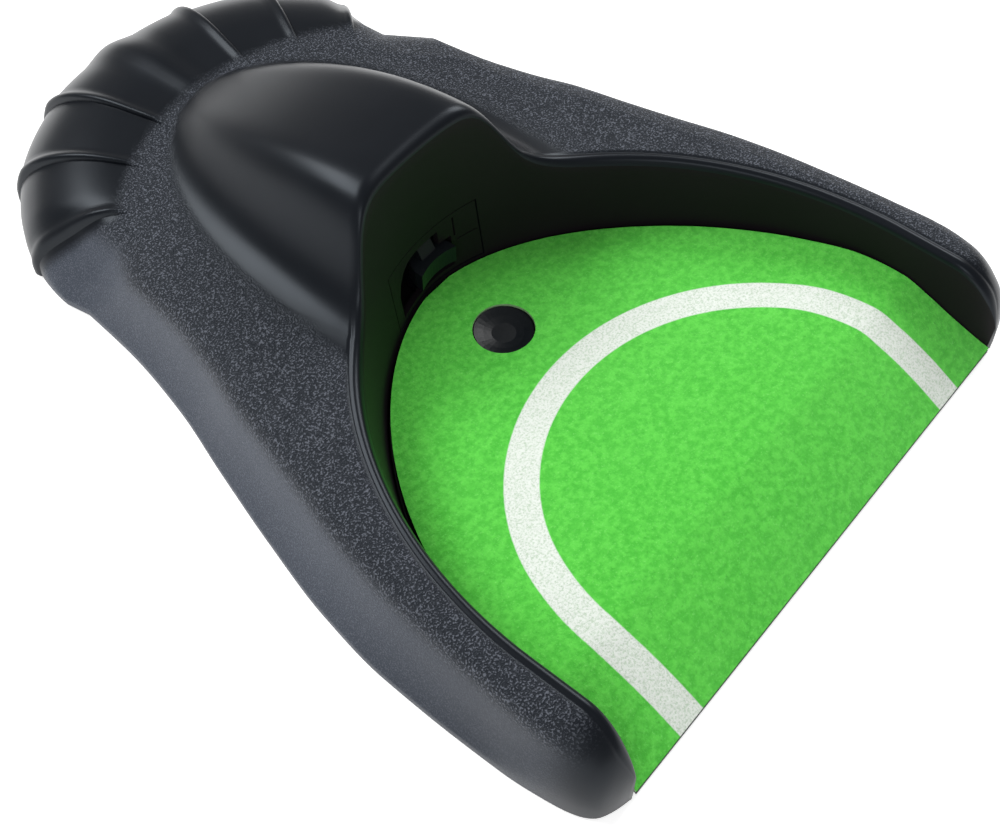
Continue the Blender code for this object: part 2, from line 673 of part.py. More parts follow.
def make_base():
    """The tray: floor, ramp, lever ears, switch posts, gearbox rails, battery compartment."""
    drop = MAT_THICKNESS + MAT_GAP
    base = prism("base_plate", plate_outline(), BASE_Z, BASE_Z + BASE_THICKNESS, BASE_BLACK)
    wedge = ramp_strip("ramp_wedge", 0.5, drop, lambda y: BASE_Z, None, helper=True)
    under = ramp_strip("ramp_hollow", 0.5 + DECK_THICKNESS, drop + DECK_THICKNESS,
                       lambda y: BASE_Z + BASE_THICKNESS, None, helper=True, front=10.0)
    behind = block("ramp_mouth", (-7.0, 108.0, BASE_Z + BASE_THICKNESS), (7.0, 156.0, 4.6), None,
                   helper=True)
    join(base, wedge)
    cut(base, under, behind)
    hole = post("deck_hole", HOLE_RADIUS, BASE_Z + BASE_THICKNESS, 20.0, None, (0.0, HOLE_Y), 48,
                helper=True)
    cut(base, hole)
    for side in (-1, 1):
        inner, outer = sorted((side * 5.5, side * 7.5))
        ear = block(f"ear_{side}", (inner, 168.5, 2.0), (outer, 175.5, 7.8), None, helper=True)
        holder = sorted((side * 3.3, side * 5.3))
        support = block(f"switch_post_{side}", (holder[0], 185.0, 2.0), (holder[1], 193.0, 9.5),
                        None, helper=True)
        join(base, ear, support)
    for low in (LEFT_PLATE_X - 1.6, RIGHT_PLATE_X - 1.6):
        rail = block(f"rail_{low:.0f}", (low, 198.0, 2.0),
                     (low + PLATE_THICKNESS + 3.2, 232.0, 5.5), None, helper=True)
        slot = block(f"rail_slot_{low:.0f}", (low + 1.3, 190.0, 3.0),
                     (low + 1.9 + PLATE_THICKNESS, 240.0, 9.0), None, helper=True)
        join(base, rail)
        cut(base, slot)
    for number, spot in enumerate(BOARD_POSTS):
        join(base, post(f"board_post_{number}", 2.0, 2.0, BOARD_Z - CLEARANCE, None, spot, 12,
                        helper=True))
    wall = 1.1
    bay = block("bay", (BAY[0] - wall, BAY[2] - wall, 2.0), (BAY[1] + wall, BAY[3] + wall,
                                                            BAY_TOP_Z + wall), None, helper=True)
    bay_space = block("bay_space", (BAY[0], BAY[2], -2.0), (BAY[1], BAY[3], BAY_TOP_Z), None,
                      helper=True)
    tower = block("door_tower", (-5.0, BAY[3] + 0.5, 2.0), (5.0, DOOR_SCREW_Y + 5.0, 9.0), None, helper=True)
    tab_space = block("tab_space", (-5.3, BAY[3] - 1.0, -1.0), (5.3, DOOR_SCREW_Y + 4.3, 1.95), None,
                      helper=True)
    tower_bore = post("tower_bore", 1.08, 1.0, 8.0, None, (0.0, DOOR_SCREW_Y), 16, helper=True)
    join(base, bay, tower)
    cut(base, bay_space, tab_space, tower_bore)
    pin_bore = rod("pin_bore", 1.0 + RUNNING_GAP, -9.0, 9.0, None, (LEVER_PIVOT_Y, LEVER_PIVOT_Z),
                   16, helper=True)
    cut(base, pin_bore)
    for number, (x, y) in enumerate(SCREW_PLACES):
        for side in (-1, 1):
            spot = (side * x, y)
            through = post(f"screw_hole_{number}_{side}", 1.8, -1.0, 4.0, None, spot, 16,
                           helper=True)
            seat = post(f"screw_seat_{number}_{side}", 3.1, -1.0, 1.4, None, spot, 16,
                        helper=True)
            cut(base, through, seat)
    for number, (x, y) in enumerate(FOOT_PLACES):
        for side in (-1, 1):
            seat = post(f"foot_seat_{number}_{side}", 5.3, -1.0, 1.6, None, (side * x, y), 24,
                        helper=True)
            cut(base, seat)
    return base


BOARD_Z = 8.0
BOARD_POSTS = [(-41.0, 209.0), (-19.0, 226.0)]

housing = make_housing()
base = make_base()
mat = make_mat()
smooth(housing)
smooth(base)
smooth(mat)

# Rubber feet and case screws.
for number, (x, y) in enumerate(FOOT_PLACES):
    for side in (-1, 1):
        turned(f"foot_{2 * number + (side + 3) // 2}", [(0.0, 1.3), (5.0, 1.3), (5.0, 0.4),
                                                       (4.6, 0.0), (0.0, 0.0)],
               RUBBER_BLACK, (side * x, y, 0.0), 24)
for number, (x, y) in enumerate(SCREW_PLACES):
    for side in (-1, 1):
        turned(f"case_screw_{2 * number + (side + 3) // 2}",
               [(0.0, 13.0), (0.9, 13.0), (SCREW_RADIUS, 12.0), (SCREW_RADIUS, 1.1), (2.7, 1.1),
                (2.7, 0.6), (2.1, 0.35), (0.9, 0.35), (0.9, 0.7), (0.0, 0.7)],
               STEEL, (side * x, y, 0.0), 14)

# ---------------------------------------------------------------- the kicker's panel
def wall_y(x, z):
    """Distance from the front of the recess's wall, at x and height z."""
    low, high = 0.0, 60.0
    for _ in range(30):
        angle = (low + high) / 2
        if recess_wall(angle, None, z)[0] < abs(x):
            low = angle
        else:
            high = angle
    return recess_wall(angle, None, z)[1]


def make_bezel():
    """The curved panel in the rear wall: an arched opening, a slot and a fine joint line."""
    left, right = WINDOW[0] + 0.4, WINDOW[1] - 0.4
    low, high = WINDOW[2] + 0.4, WINDOW[3] - 0.4
    sections = []
    for x in np.linspace(left, right, 15):
        levels = np.linspace(low, high, 5)
        front = [(x, wall_y(x, z) + 0.1, z) for z in levels]
        back = [(x, wall_y(x, z) + 2.2, z) for z in reversed(levels)]
        sections.append(front + back)
    bezel = loft("kicker_bezel", sections, HOUSING_BLACK)
    arch = [(-17.5, 9.0), (9.6, 9.0), (9.6, 22.0), (4.4, 22.0), (4.4, 27.6), (-7.0, 27.6),
            (-10.5, 27.0), (-13.5, 25.2), (-16.0, 22.0), (-17.5, 18.0)]
    opening = loft("bezel_opening", [[(x, y, z) for x, z in arch] for y in (144.0, 168.0)], None,
                   helper=True)
    slot = block("bezel_slot", (10.8, 144.0, 21.0), (11.4, 168.0, 29.0), None, helper=True)
    line = block("bezel_line", (11.4, 144.0, 18.7), (19.4, wall_y(15.0, 19.0) + 0.9, 19.1), None,
                 helper=True)
    cut(bezel, opening, slot, line)
    return bezel


bezel = make_bezel()
smooth(bezel)

# ---------------------------------------------------------------- trigger
PIVOT = (0.0, LEVER_PIVOT_Y, LEVER_PIVOT_Z)


def make_lever():
    """The dish that the ball sits on, and the arm back to the switch, about its pivot."""
    top = LEVER_Z + LEVER_THICKNESS
    arm = [(-4.0, 118.0), (4.0, 118.0), (4.0, 178.0), (2.4, 181.0), (2.4, LEVER_REAR_Y),
           (-2.4, LEVER_REAR_Y), (-2.4, 181.0), (-4.0, 178.0)]
    lever = prism("trigger_lever", arm, LEVER_Z, top, KICKER_GREY, "Z", PIVOT)
    profile = [(0.0, 3.7), (6.5, 3.9), (9.0, 4.9), (DISH_RADIUS, 5.6), (DISH_RADIUS, DISH_RIM_Z),
               (8.6, DISH_RIM_Z - 0.25), (6.6, DISH_RIM_Z - 0.85), (4.0, DISH_RIM_Z - 1.3),
               (0.0, DISH_RIM_Z - DISH_DEPTH)]
    rings = []
    for radius, height in profile[1:-1]:
        rings.append([(x, y, height) for x, y in circle(radius, (0.0, HOLE_Y), 28)])
    dish = loft("dish", rings, None, helper=True)
    hub = rod("lever_hub", 2.3, -4.0, 4.0, None, PIVOT[1:], 20, helper=True)
    bore = rod("lever_bore", 1.0 + RUNNING_GAP, -6.0, 6.0, None, PIVOT[1:], 20, helper=True)
    join(lever, dish, hub)
    cut(lever, bore)
    return lever


lever = make_lever()
smooth(lever)
rod("trigger_pin", 1.0, -8.0, 8.0, STEEL, (LEVER_PIVOT_Y, LEVER_PIVOT_Z), 20)
switch = block("switch_body", (-3.0, 183.0, 5.9), (3.0, 195.0, 10.6), BASE_BLACK)
BUTTON_SPOT = (0.0, LEVER_REAR_Y - 1.2)
shaft_space = post("button_space", 1.35, 5.0, 8.4, None, BUTTON_SPOT, 20, helper=True)
cut(switch, shaft_space)
# The button stands on the lever's rear end and reaches up into the switch.
post("switch_button", 1.2, LEVER_Z + LEVER_THICKNESS, 7.6, GEAR_WHITE, BUTTON_SPOT, 20)

# ---------------------------------------------------------------- gearbox
def next_spot(spot, degrees, teeth_a, teeth_b):
    distance = GEAR_MODULE * (teeth_a + teeth_b) / 2 + 0.03
    turn = math.radians(degrees)
    return spot[0] + distance * math.cos(turn), spot[1] + distance * math.sin(turn)


SECOND_SPOT = next_spot(CAM_SPOT, MESH_ANGLES[0], CAM_TEETH, PINION_TEETH)
FIRST_SPOT = next_spot(SECOND_SPOT, MESH_ANGLES[1], WHEEL_TEETH, PINION_TEETH)
MOTOR_SPOT = next_spot(FIRST_SPOT, MESH_ANGLES[2], WHEEL_TEETH, PINION_TEETH)


def facing(degrees, teeth, gap):
    """Phase that puts a tooth, or a gap between teeth, at an angle in degrees."""
    return math.radians(degrees) + (math.pi / teeth if gap else 0.0)


def make_compound(name, spot, wheel_span, pinion_span, wheel_phase, pinion_phase):
    """A wheel and a small pinion in one piece on a bored hub."""
    wheel = gear(name, WHEEL_TEETH, *wheel_span, spot, wheel_phase)
    small = gear(name + "_small", PINION_TEETH, *pinion_span, spot, pinion_phase, helper=True)
    ends = (*wheel_span, *pinion_span)
    hub = rod(name + "_hub", 2.25, min(ends) - 0.2, max(ends) + 0.2, None, spot, 20, helper=True)
    bore = rod(name + "_bore", SHAFT_RADIUS + RUNNING_GAP, -20.0, 30.0, None, spot, 20,
               helper=True)
    join(wheel, small, hub)
    cut(wheel, bore)
    return wheel


def make_cam():
    """The snail cam and its wheel in one piece."""
    outline = []
    for i in range(36):
        turn = 2 * math.pi * i / 36
        radius = CAM_RADIUS - 5.5 * (i / 35)
        outline.append((CAM_SPOT[0] + radius * math.cos(turn + 2.0),
                        CAM_SPOT[1] + radius * math.sin(turn + 2.0)))
    phase = facing(MESH_ANGLES[0], CAM_TEETH, False)
    wheel = gear("snail_cam_gear", CAM_TEETH, 4.0, 9.0, CAM_SPOT, phase)
    cam = prism("cam", outline, -3.0, 3.2, None, "X", (0.0, *CAM_SPOT), helper=True)
    hub = rod("cam_hub", 4.5, -3.4, 9.4, None, CAM_SPOT, 24, helper=True)
    bore = rod("cam_bore", SHAFT_RADIUS + RUNNING_GAP, -20.0, 30.0, None, CAM_SPOT, 20,
               helper=True)
    join(wheel, cam, hub)
    cut(wheel, bore)
    return wheel


cam = make_cam()
second = make_compound("second_gear", SECOND_SPOT, (10.0, 13.0), (4.0, 9.0),
                       facing(MESH_ANGLES[1], WHEEL_TEETH, False),
                       facing(MESH_ANGLES[0] + 180.0, PINION_TEETH, True))
first = make_compound("first_gear", FIRST_SPOT, (14.0, 17.0), (10.0, 13.0),
                      facing(MESH_ANGLES[2], WHEEL_TEETH, False),
                      facing(MESH_ANGLES[1] + 180.0, PINION_TEETH, True))
pinion = gear("motor_pinion", PINION_TEETH, 14.0, 17.5, MOTOR_SPOT,
              facing(MESH_ANGLES[2] + 180.0, PINION_TEETH, True))
join(pinion, rod("pinion_shaft", 0.9, 13.0, 24.0, None, MOTOR_SPOT, 16, helper=True))

SHAFT_ENDS = (LEFT_PLATE_X - 0.5, RIGHT_PLATE_X + PLATE_THICKNESS + 0.4)
rod("kicker_shaft", 2.0, *SHAFT_ENDS, STEEL, (KICKER_Y, KICKER_Z), 20)
rod("cam_shaft", SHAFT_RADIUS, *SHAFT_ENDS, STEEL, CAM_SPOT, 20)
rod("second_shaft", SHAFT_RADIUS, *SHAFT_ENDS, STEEL, SECOND_SPOT, 20)
rod("first_shaft", SHAFT_RADIUS, *SHAFT_ENDS, STEEL, FIRST_SPOT, 20)

PLATE = [
    (158.0, 45.0), (159.5, 50.5), (164.0, 52.5), (172.0, 51.0), (196.0, 43.0), (218.0, 43.0),
    (233.0, 33.0), (238.0, 22.0), (238.0, 8.0), (233.0, 3.4), (196.0, 3.4), (177.0, 6.5),
    (175.0, 14.0), (168.0, 30.0),
]


def make_side_plate(name, low, motor_hole):
    plate = prism(name, PLATE, low, low + PLATE_THICKNESS, GEAR_WHITE, "X")
    bores = [(2.0, (KICKER_Y, KICKER_Z)), (SHAFT_RADIUS, CAM_SPOT), (SHAFT_RADIUS, SECOND_SPOT),
             (SHAFT_RADIUS, FIRST_SPOT)]
    bores += [(1.1, spot) for spot in TIE_SPOTS]
    if motor_hole:
        bores.append((2.6, MOTOR_SPOT))
    for number, (radius, spot) in enumerate(bores):
        cut(plate, rod(f"{name}_bore_{number}", radius + RUNNING_GAP, low - 2, low + 4, None,
                       spot, 20, helper=True))
    return plate


make_side_plate("gearbox_plate_left", LEFT_PLATE_X, False)
make_side_plate("gearbox_plate_right", RIGHT_PLATE_X, True)
TIE_ENDS = (LEFT_PLATE_X + PLATE_THICKNESS + CLEARANCE, RIGHT_PLATE_X - CLEARANCE)
for number, (name, spot) in enumerate(zip(("gearbox_tie_front", "gearbox_tie_rear"), TIE_SPOTS)):
    tie = rod(name, 2.3, *TIE_ENDS, STEEL, spot, 20)
    for side, (face, inward) in enumerate(((LEFT_PLATE_X, 1), (RIGHT_PLATE_X + PLATE_THICKNESS, -1))):
        reach = sorted((face - inward, face + inward * 9.0))
        cut(tie, rod(f"tie_bore_{number}_{side}", 1.0 + RUNNING_GAP, *reach, None, spot, 16,
                     helper=True))
        shank = sorted((face - inward * 0.5, face + inward * 8.0))
        head = sorted((face - inward * 0.3, face - inward * 1.5))
        screw = rod(f"gearbox_screw_{2 * number + side + 1}", 1.0, *shank, STEEL, spot, 16)
        join(screw, rod(f"screw_head_{number}_{side}", 2.0, *head, None, spot, 16, helper=True))

# ---------------------------------------------------------------- kicker
KICKER_SPOT = (0.0, KICKER_Y, KICKER_Z)


def make_kicker():
    """Crescent head, arm, hub and the rear lug that the cam lifts, about the hub's axis."""
    front = []
    for i in range(13):
        x = HEAD_HALF_WIDTH * (i / 6 - 1)
        front.append((x, HEAD_FRONT_Y + 1.6 * (1 - (x / HEAD_HALF_WIDTH) ** 2)))
    back = [(HEAD_HALF_WIDTH, HEAD_FRONT_Y + 3.0), (6.4, HEAD_BACK_Y - 2.0),
            (3.6, HEAD_BACK_Y), (-3.6, HEAD_BACK_Y), (-6.4, HEAD_BACK_Y - 2.0),
            (-HEAD_HALF_WIDTH, HEAD_FRONT_Y + 3.0)]
    kicker = prism("kicker", front + back, *HEAD_Z, KICKER_GREY, "Z", KICKER_SPOT)
    limb = [(153.5, 15.0), (159.0, 14.0), (163.5, 24.0), (167.5, 40.0), (167.5, 48.0),
            (160.5, 48.0), (159.5, 38.0), (157.0, 26.0), (153.5, 20.0)]
    arm = prism("kicker_arm", limb, -3.2, 3.2, None, "X", helper=True)
    lug = [(162.0, 43.0), (176.0, 38.5), (186.5, 38.0), (188.0, 39.5), (187.5, 42.0),
           (178.0, 44.0), (166.0, 50.5)]
    finger = prism("kicker_lug", lug, -3.0, 3.0, None, "X", helper=True)
    hub = rod("kicker_hub", 5.0, -4.0, 4.0, None, KICKER_SPOT[1:], 28, helper=True)
    bore = rod("kicker_bore", 2.0 + RUNNING_GAP, -9.0, 9.0, None, KICKER_SPOT[1:], 24,
               helper=True)
    join(kicker, arm, finger, hub)
    cut(kicker, bore)
    return kicker


kicker = make_kicker()
smooth(kicker)


def spring_path():
    """Torsion spring: a leg, four turns round the shaft, and a leg."""
    path = [(5.2, KICKER_Y + 8.0, KICKER_Z - 3.3), (5.2, KICKER_Y + 3.5, KICKER_Z - 3.3)]
    turns, steps = 4.0, 44
    for i in range(steps + 1):
        turn = -math.pi / 2 - 2 * math.pi * turns * i / steps
        path.append((5.2 + 4.6 * i / steps, KICKER_Y + 3.3 * math.cos(turn),
                     KICKER_Z + 3.3 * math.sin(turn)))
    path.append((9.8, KICKER_Y - 3.0, KICKER_Z - 3.3))
    path.append((9.8, KICKER_Y - 4.6, KICKER_Z - 3.3))
    return path


tube("kicker_spring", 0.42, spring_path(), STEEL, 6)

# ---------------------------------------------------------------- motor, board, cells
def make_motor():
    """The can, with two flats, bored for the shaft, and the end cap."""
    start = RIGHT_PLATE_X + PLATE_THICKNESS + 0.5
    outline = []
    for i in range(36):
        turn = 2 * math.pi * i / 36
        rise = MOTOR_RADIUS * math.sin(turn)
        outline.append((MOTOR_SPOT[0] + MOTOR_RADIUS * math.cos(turn),
                        MOTOR_SPOT[1] + max(-MOTOR_FLAT, min(MOTOR_FLAT, rise))))
    tidy = [p for i, p in enumerate(outline) if i == 0 or math.dist(p, outline[i - 1]) > 0.01]
    can = prism("motor_can", tidy, start, start + MOTOR_LENGTH, STEEL, "X")
    cut(can, rod("can_bore", 1.1, start - 1, start + 6, None, MOTOR_SPOT, 16, helper=True))
    end = start + MOTOR_LENGTH + CLEARANCE
    cap = prism("motor_end_cap", [(MOTOR_SPOT[0] + (y - MOTOR_SPOT[0]) * 0.92,
                                   MOTOR_SPOT[1] + (z - MOTOR_SPOT[1]) * 0.92) for y, z in tidy],
                end, end + 2.6, GEAR_WHITE, "X")
    return can, cap, end + 2.6


can, cap, motor_end = make_motor()
board = block("circuit_board", (-45.0, 204.0, BOARD_Z), (-15.0, 231.0, BOARD_Z + 1.6), BOARD_GREEN)
turned("capacitor", [(0.0, 9.5), (2.6, 9.5), (3.1, 9.0), (3.1, 0.0), (0.0, 0.0)], CELL_BLUE,
       (-24.0, 212.0, BOARD_Z + 1.9), 20)

wire_start = motor_end + CLEARANCE
for name, material, rise, back in (("motor_wire_red", WIRE_RED, 4.0, 0.0),
                                   ("motor_wire_black", WIRE_BLACK, -4.0, 2.4)):
    z = MOTOR_SPOT[1] + rise
    cross = 244.0 + back
    corners = [(wire_start, MOTOR_SPOT[0], z), (wire_start + 5.0, MOTOR_SPOT[0], z),
               (wire_start + 5.0, cross, 21.0), (-18.0 - back, cross, 21.0),
               (-18.0 - back, 227.0, 21.0), (-18.0 - back, 227.0, BOARD_Z + 1.9)]
    tube(name, 0.6, rounded_path(corners, 2.5, 3), material, 6)


def make_cell(number, start, forward, row):
    """One cell along X: its body, and the raised contact at its plus end."""
    body = CELL_LENGTH - 1.2
    low = start if forward else start + 1.2
    cell = rod(f"cell_{number}", CELL_RADIUS, low, low + body, CELL_BLUE, (row, CELL_Z), 32)
    nub = (low + body - 1.0, low + body + 1.2) if forward else (low - 1.2, low + 1.0)
    join(cell, rod(f"cell_nub_{number}", 2.7, *nub, None, (row, CELL_Z), 20, helper=True))
    return cell


number = 1
for row, forward in zip(CELL_ROWS, (True, False)):
    for start in (-CELL_LENGTH - 0.2, 0.2):
        make_cell(number, start, forward, row)
        number += 1

for name, x, rows in (("contact_left_front", BAY[0] + 0.4, CELL_ROWS[:1]),
                      ("contact_left_rear", BAY[0] + 0.4, CELL_ROWS[1:]),
                      ("contact_link", BAY[1] - 0.8, CELL_ROWS)):
    block(name, (x, rows[0] - 5.0, CELL_Z - 5.0), (x + 0.4, rows[-1] + 5.0, CELL_Z + 5.0), BRASS)

door_outline = [(BAY[0] + 0.3, BAY[2] + 0.3), (BAY[1] - 0.3, BAY[2] + 0.3),
                (BAY[1] - 0.3, BAY[3] - 0.3), (5.0, BAY[3] - 0.3), (5.0, DOOR_SCREW_Y + 4.0),
                (-5.0, DOOR_SCREW_Y + 4.0), (-5.0, BAY[3] - 0.3), (BAY[0] + 0.3, BAY[3] - 0.3)]
door = prism("battery_door", door_outline, 0.7, 1.65, BASE_BLACK)
cut(door, post("door_hole", 1.3, -1.0, 4.0, None, (0.0, DOOR_SCREW_Y), 16, helper=True))
turned("door_screw", [(0.0, 7.5), (0.6, 7.5), (1.0, 6.8), (1.0, 0.55), (2.1, 0.55), (2.1, 0.2),
                      (0.0, 0.2)], STEEL, (0.0, DOOR_SCREW_Y, 0.0), 16)
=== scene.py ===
# %% [markdown]
# # An automatic putting cup
# The device is a black horseshoe of moulded plastic round a short ramp of green felt. A golf ball
# rolls up the ramp, rests in the small hole, and a kicker under the hood knocks it back. The moving
# model is loaded first. The steps after it rebuild what the eye sees: the one-piece cover, the felt,
# and a finish for every other piece.

import json
import math

import bmesh
import bpy
import numpy as np
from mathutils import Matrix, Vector, noise


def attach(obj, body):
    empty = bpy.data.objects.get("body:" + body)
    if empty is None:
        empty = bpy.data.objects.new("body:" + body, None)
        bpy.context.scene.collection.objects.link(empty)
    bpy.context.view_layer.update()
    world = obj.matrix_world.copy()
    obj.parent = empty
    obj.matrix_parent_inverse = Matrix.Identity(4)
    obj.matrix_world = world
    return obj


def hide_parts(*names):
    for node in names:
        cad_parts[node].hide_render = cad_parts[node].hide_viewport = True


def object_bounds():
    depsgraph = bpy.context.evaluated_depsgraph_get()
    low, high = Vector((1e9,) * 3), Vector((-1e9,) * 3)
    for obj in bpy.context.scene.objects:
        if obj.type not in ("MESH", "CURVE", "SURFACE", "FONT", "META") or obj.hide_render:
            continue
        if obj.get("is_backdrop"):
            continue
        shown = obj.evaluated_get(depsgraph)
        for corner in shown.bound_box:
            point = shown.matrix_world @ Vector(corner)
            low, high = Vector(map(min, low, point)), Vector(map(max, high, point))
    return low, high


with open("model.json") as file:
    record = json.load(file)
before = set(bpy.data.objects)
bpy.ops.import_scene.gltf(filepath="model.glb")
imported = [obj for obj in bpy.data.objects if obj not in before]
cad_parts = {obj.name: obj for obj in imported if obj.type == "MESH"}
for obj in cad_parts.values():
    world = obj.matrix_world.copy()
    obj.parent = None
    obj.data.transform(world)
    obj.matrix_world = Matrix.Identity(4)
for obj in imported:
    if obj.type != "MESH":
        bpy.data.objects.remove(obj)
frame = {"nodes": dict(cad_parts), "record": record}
cad_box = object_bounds()
nodes = frame["nodes"]

# %% [markdown]
# ## Working in millimetres from the front lip
# The designers of such a cover measure from its front edge. The same is done here: x is the distance
# from the middle, y the distance behind the front lip, z the height over the floor, all in
# millimetres. One function moves such a point into the scene's metres.

# %% Design units
MM = 0.001
LENGTH = 310.5
PLATE_LIP = 1.6
FRONT_Y = -(0.3 + LENGTH + PLATE_LIP) / 2


def place(point):
    x, y, z = point
    return (x * MM, (y + FRONT_Y) * MM, z * MM)


def ease(value):
    t = min(1.0, max(0.0, value))
    return t * t * (3 - 2 * t)


def read_curve(keys, value):
    """A smooth curve through a few (place, value) pairs that never overshoots them."""
    places = np.array([k[0] for k in keys])
    values = np.array([k[1] for k in keys])
    steps = np.diff(values) / np.diff(places)
    slopes = np.zeros(len(keys))
    for i in range(1, len(keys) - 1):
        if steps[i - 1] * steps[i] > 0:
            slopes[i] = 2 * steps[i - 1] * steps[i] / (steps[i - 1] + steps[i])
    slopes[0], slopes[-1] = steps[0], steps[-1]
    value = min(max(value, places[0]), places[-1])
    i = min(int(np.searchsorted(places, value, side="right")) - 1, len(keys) - 2)
    width = places[i + 1] - places[i]
    t = (value - places[i]) / width
    low = (2 * t**3 - 3 * t**2 + 1) * values[i] + (t**3 - 2 * t**2 + t) * width * slopes[i]
    high = (3 * t**2 - 2 * t**3) * values[i + 1] + (t**3 - t**2) * width * slopes[i + 1]
    return float(low + high)


print("front lip at", round(FRONT_Y * MM, 4), "m")

# %% [markdown]
# ## The camera
# The device is seen from its front left, from well above. Setting the camera before any modelling
# lets each piece be judged from the angle that matters most.

# %% Camera
AZIMUTH, ELEVATION = math.radians(-50.721), math.radians(56.091)
camera_data = bpy.data.cameras.new("camera")
camera_data.sensor_width = 36.0
camera_data.lens = 55.04
camera_data.clip_start = 0.01
camera = bpy.data.objects.new("camera", camera_data)
bpy.context.scene.collection.objects.link(camera)
camera.location = (-0.2290, FRONT_Y * MM - 0.0627, 0.3961)
towards_camera = Vector((math.sin(AZIMUTH) * math.cos(ELEVATION),
                         -math.cos(AZIMUTH) * math.cos(ELEVATION), math.sin(ELEVATION)))
camera.rotation_euler = towards_camera.to_track_quat("Z", "Y").to_euler()
bpy.context.scene.camera = camera
print("camera at", tuple(round(c, 3) for c in camera.location))

# %% [markdown]
# ## Floor and light
# A product shot uses a pale sweep and large soft lights. The floor is one big plane that glows a
# little, so it stays white. Three softboxes, above the tail, at the right and at the front left,
# draw the highlights on the hood's shoulder and along the rim, and the pale world fills the shadows.

# %% Floor
bpy.ops.object.select_all(action="DESELECT")
bpy.ops.mesh.primitive_plane_add(size=6.0, location=(0.0, 0.0, 0.0))
floor = bpy.context.object
floor.name = "studio_floor"
floor_material = bpy.data.materials.new("pale_sweep")
floor_material.use_nodes = True
floor_shader = floor_material.node_tree.nodes["Principled BSDF"]
floor_shader.inputs["Base Color"].default_value = (0.9, 0.9, 0.9, 1.0)
floor_shader.inputs["Roughness"].default_value = 1.0
floor_shader.inputs["Emission Color"].default_value = (1.0, 1.0, 1.0, 1.0)
floor_shader.inputs["Emission Strength"].default_value = 0.62
floor.data.materials.append(floor_material)
floor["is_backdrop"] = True

# %% Lights
world = bpy.data.worlds.new("pale_studio")
bpy.context.scene.world = world
world.use_nodes = True
world.node_tree.nodes["Background"].inputs["Color"].default_value = (1.0, 1.0, 1.0, 1.0)
world.node_tree.nodes["Background"].inputs["Strength"].default_value = 0.34


def softbox(name, location, target, size, power):
    light = bpy.data.lights.new(name, "AREA")
    light.shape = "RECTANGLE"
    light.size, light.size_y = size
    light.energy = power
    lamp = bpy.data.objects.new(name, light)
    bpy.context.scene.collection.objects.link(lamp)
    lamp.location = location
    aim = Vector(location) - Vector(target)
    lamp.rotation_euler = aim.to_track_quat("Z", "Y").to_euler()
    return lamp


softbox("softbox_above_tail", (-0.25, 0.75, 0.85), (0.0, 0.0, 0.0), (0.7, 0.5), 9.0)
softbox("softbox_right", (0.85, 0.10, 0.75), (0.0, 0.0, 0.02), (0.5, 0.5), 6.0)
softbox("softbox_front_left", (-0.75, -0.45, 0.60), (0.0, 0.0, 0.02), (0.5, 0.4), 2.0)
bpy.context.scene.view_settings.view_transform = "Standard"

# %% [markdown]
# ## Writing materials as sums
# A material is a graph of nodes. Wiring each one by hand hides the idea, so a small class wraps a
# socket: adding or multiplying two of them adds the Math nodes for it. `node` makes any other node
# from its type, its settings and what goes into its sockets.

# %% A socket that does arithmetic
class Socket:
    def __init__(self, paint, socket):
        self.paint, self.socket = paint, socket

    def _math(self, operation, *values):
        return self.paint.node("ShaderNodeMath", {"operation": operation}, dict(enumerate(values)))

    def __add__(self, other):
        return self._math("ADD", self, other)

    def __radd__(self, other):
        return self._math("ADD", other, self)

    def __sub__(self, other):
        return self._math("SUBTRACT", self, other)

    def __rsub__(self, other):
        return self._math("SUBTRACT", other, self)

    def __mul__(self, other):
        return self._math("MULTIPLY", self, other)

    def __rmul__(self, other):
        return self._math("MULTIPLY", other, self)

    def __abs__(self):
        return self._math("ABSOLUTE", self)

    def at_least(self, other):
        return self._math("MAXIMUM", self, other)

    def power(self, other):
        return self._math("POWER", self, other)

    def step(self, start, end):
        """0 below start, 1 above end, and a smooth rise between them."""
        settings = {"interpolation_type": "SMOOTHSTEP"}
        return self.paint.node("ShaderNodeMapRange", settings,
                               {"Value": self, "From Min": start, "From Max": end})


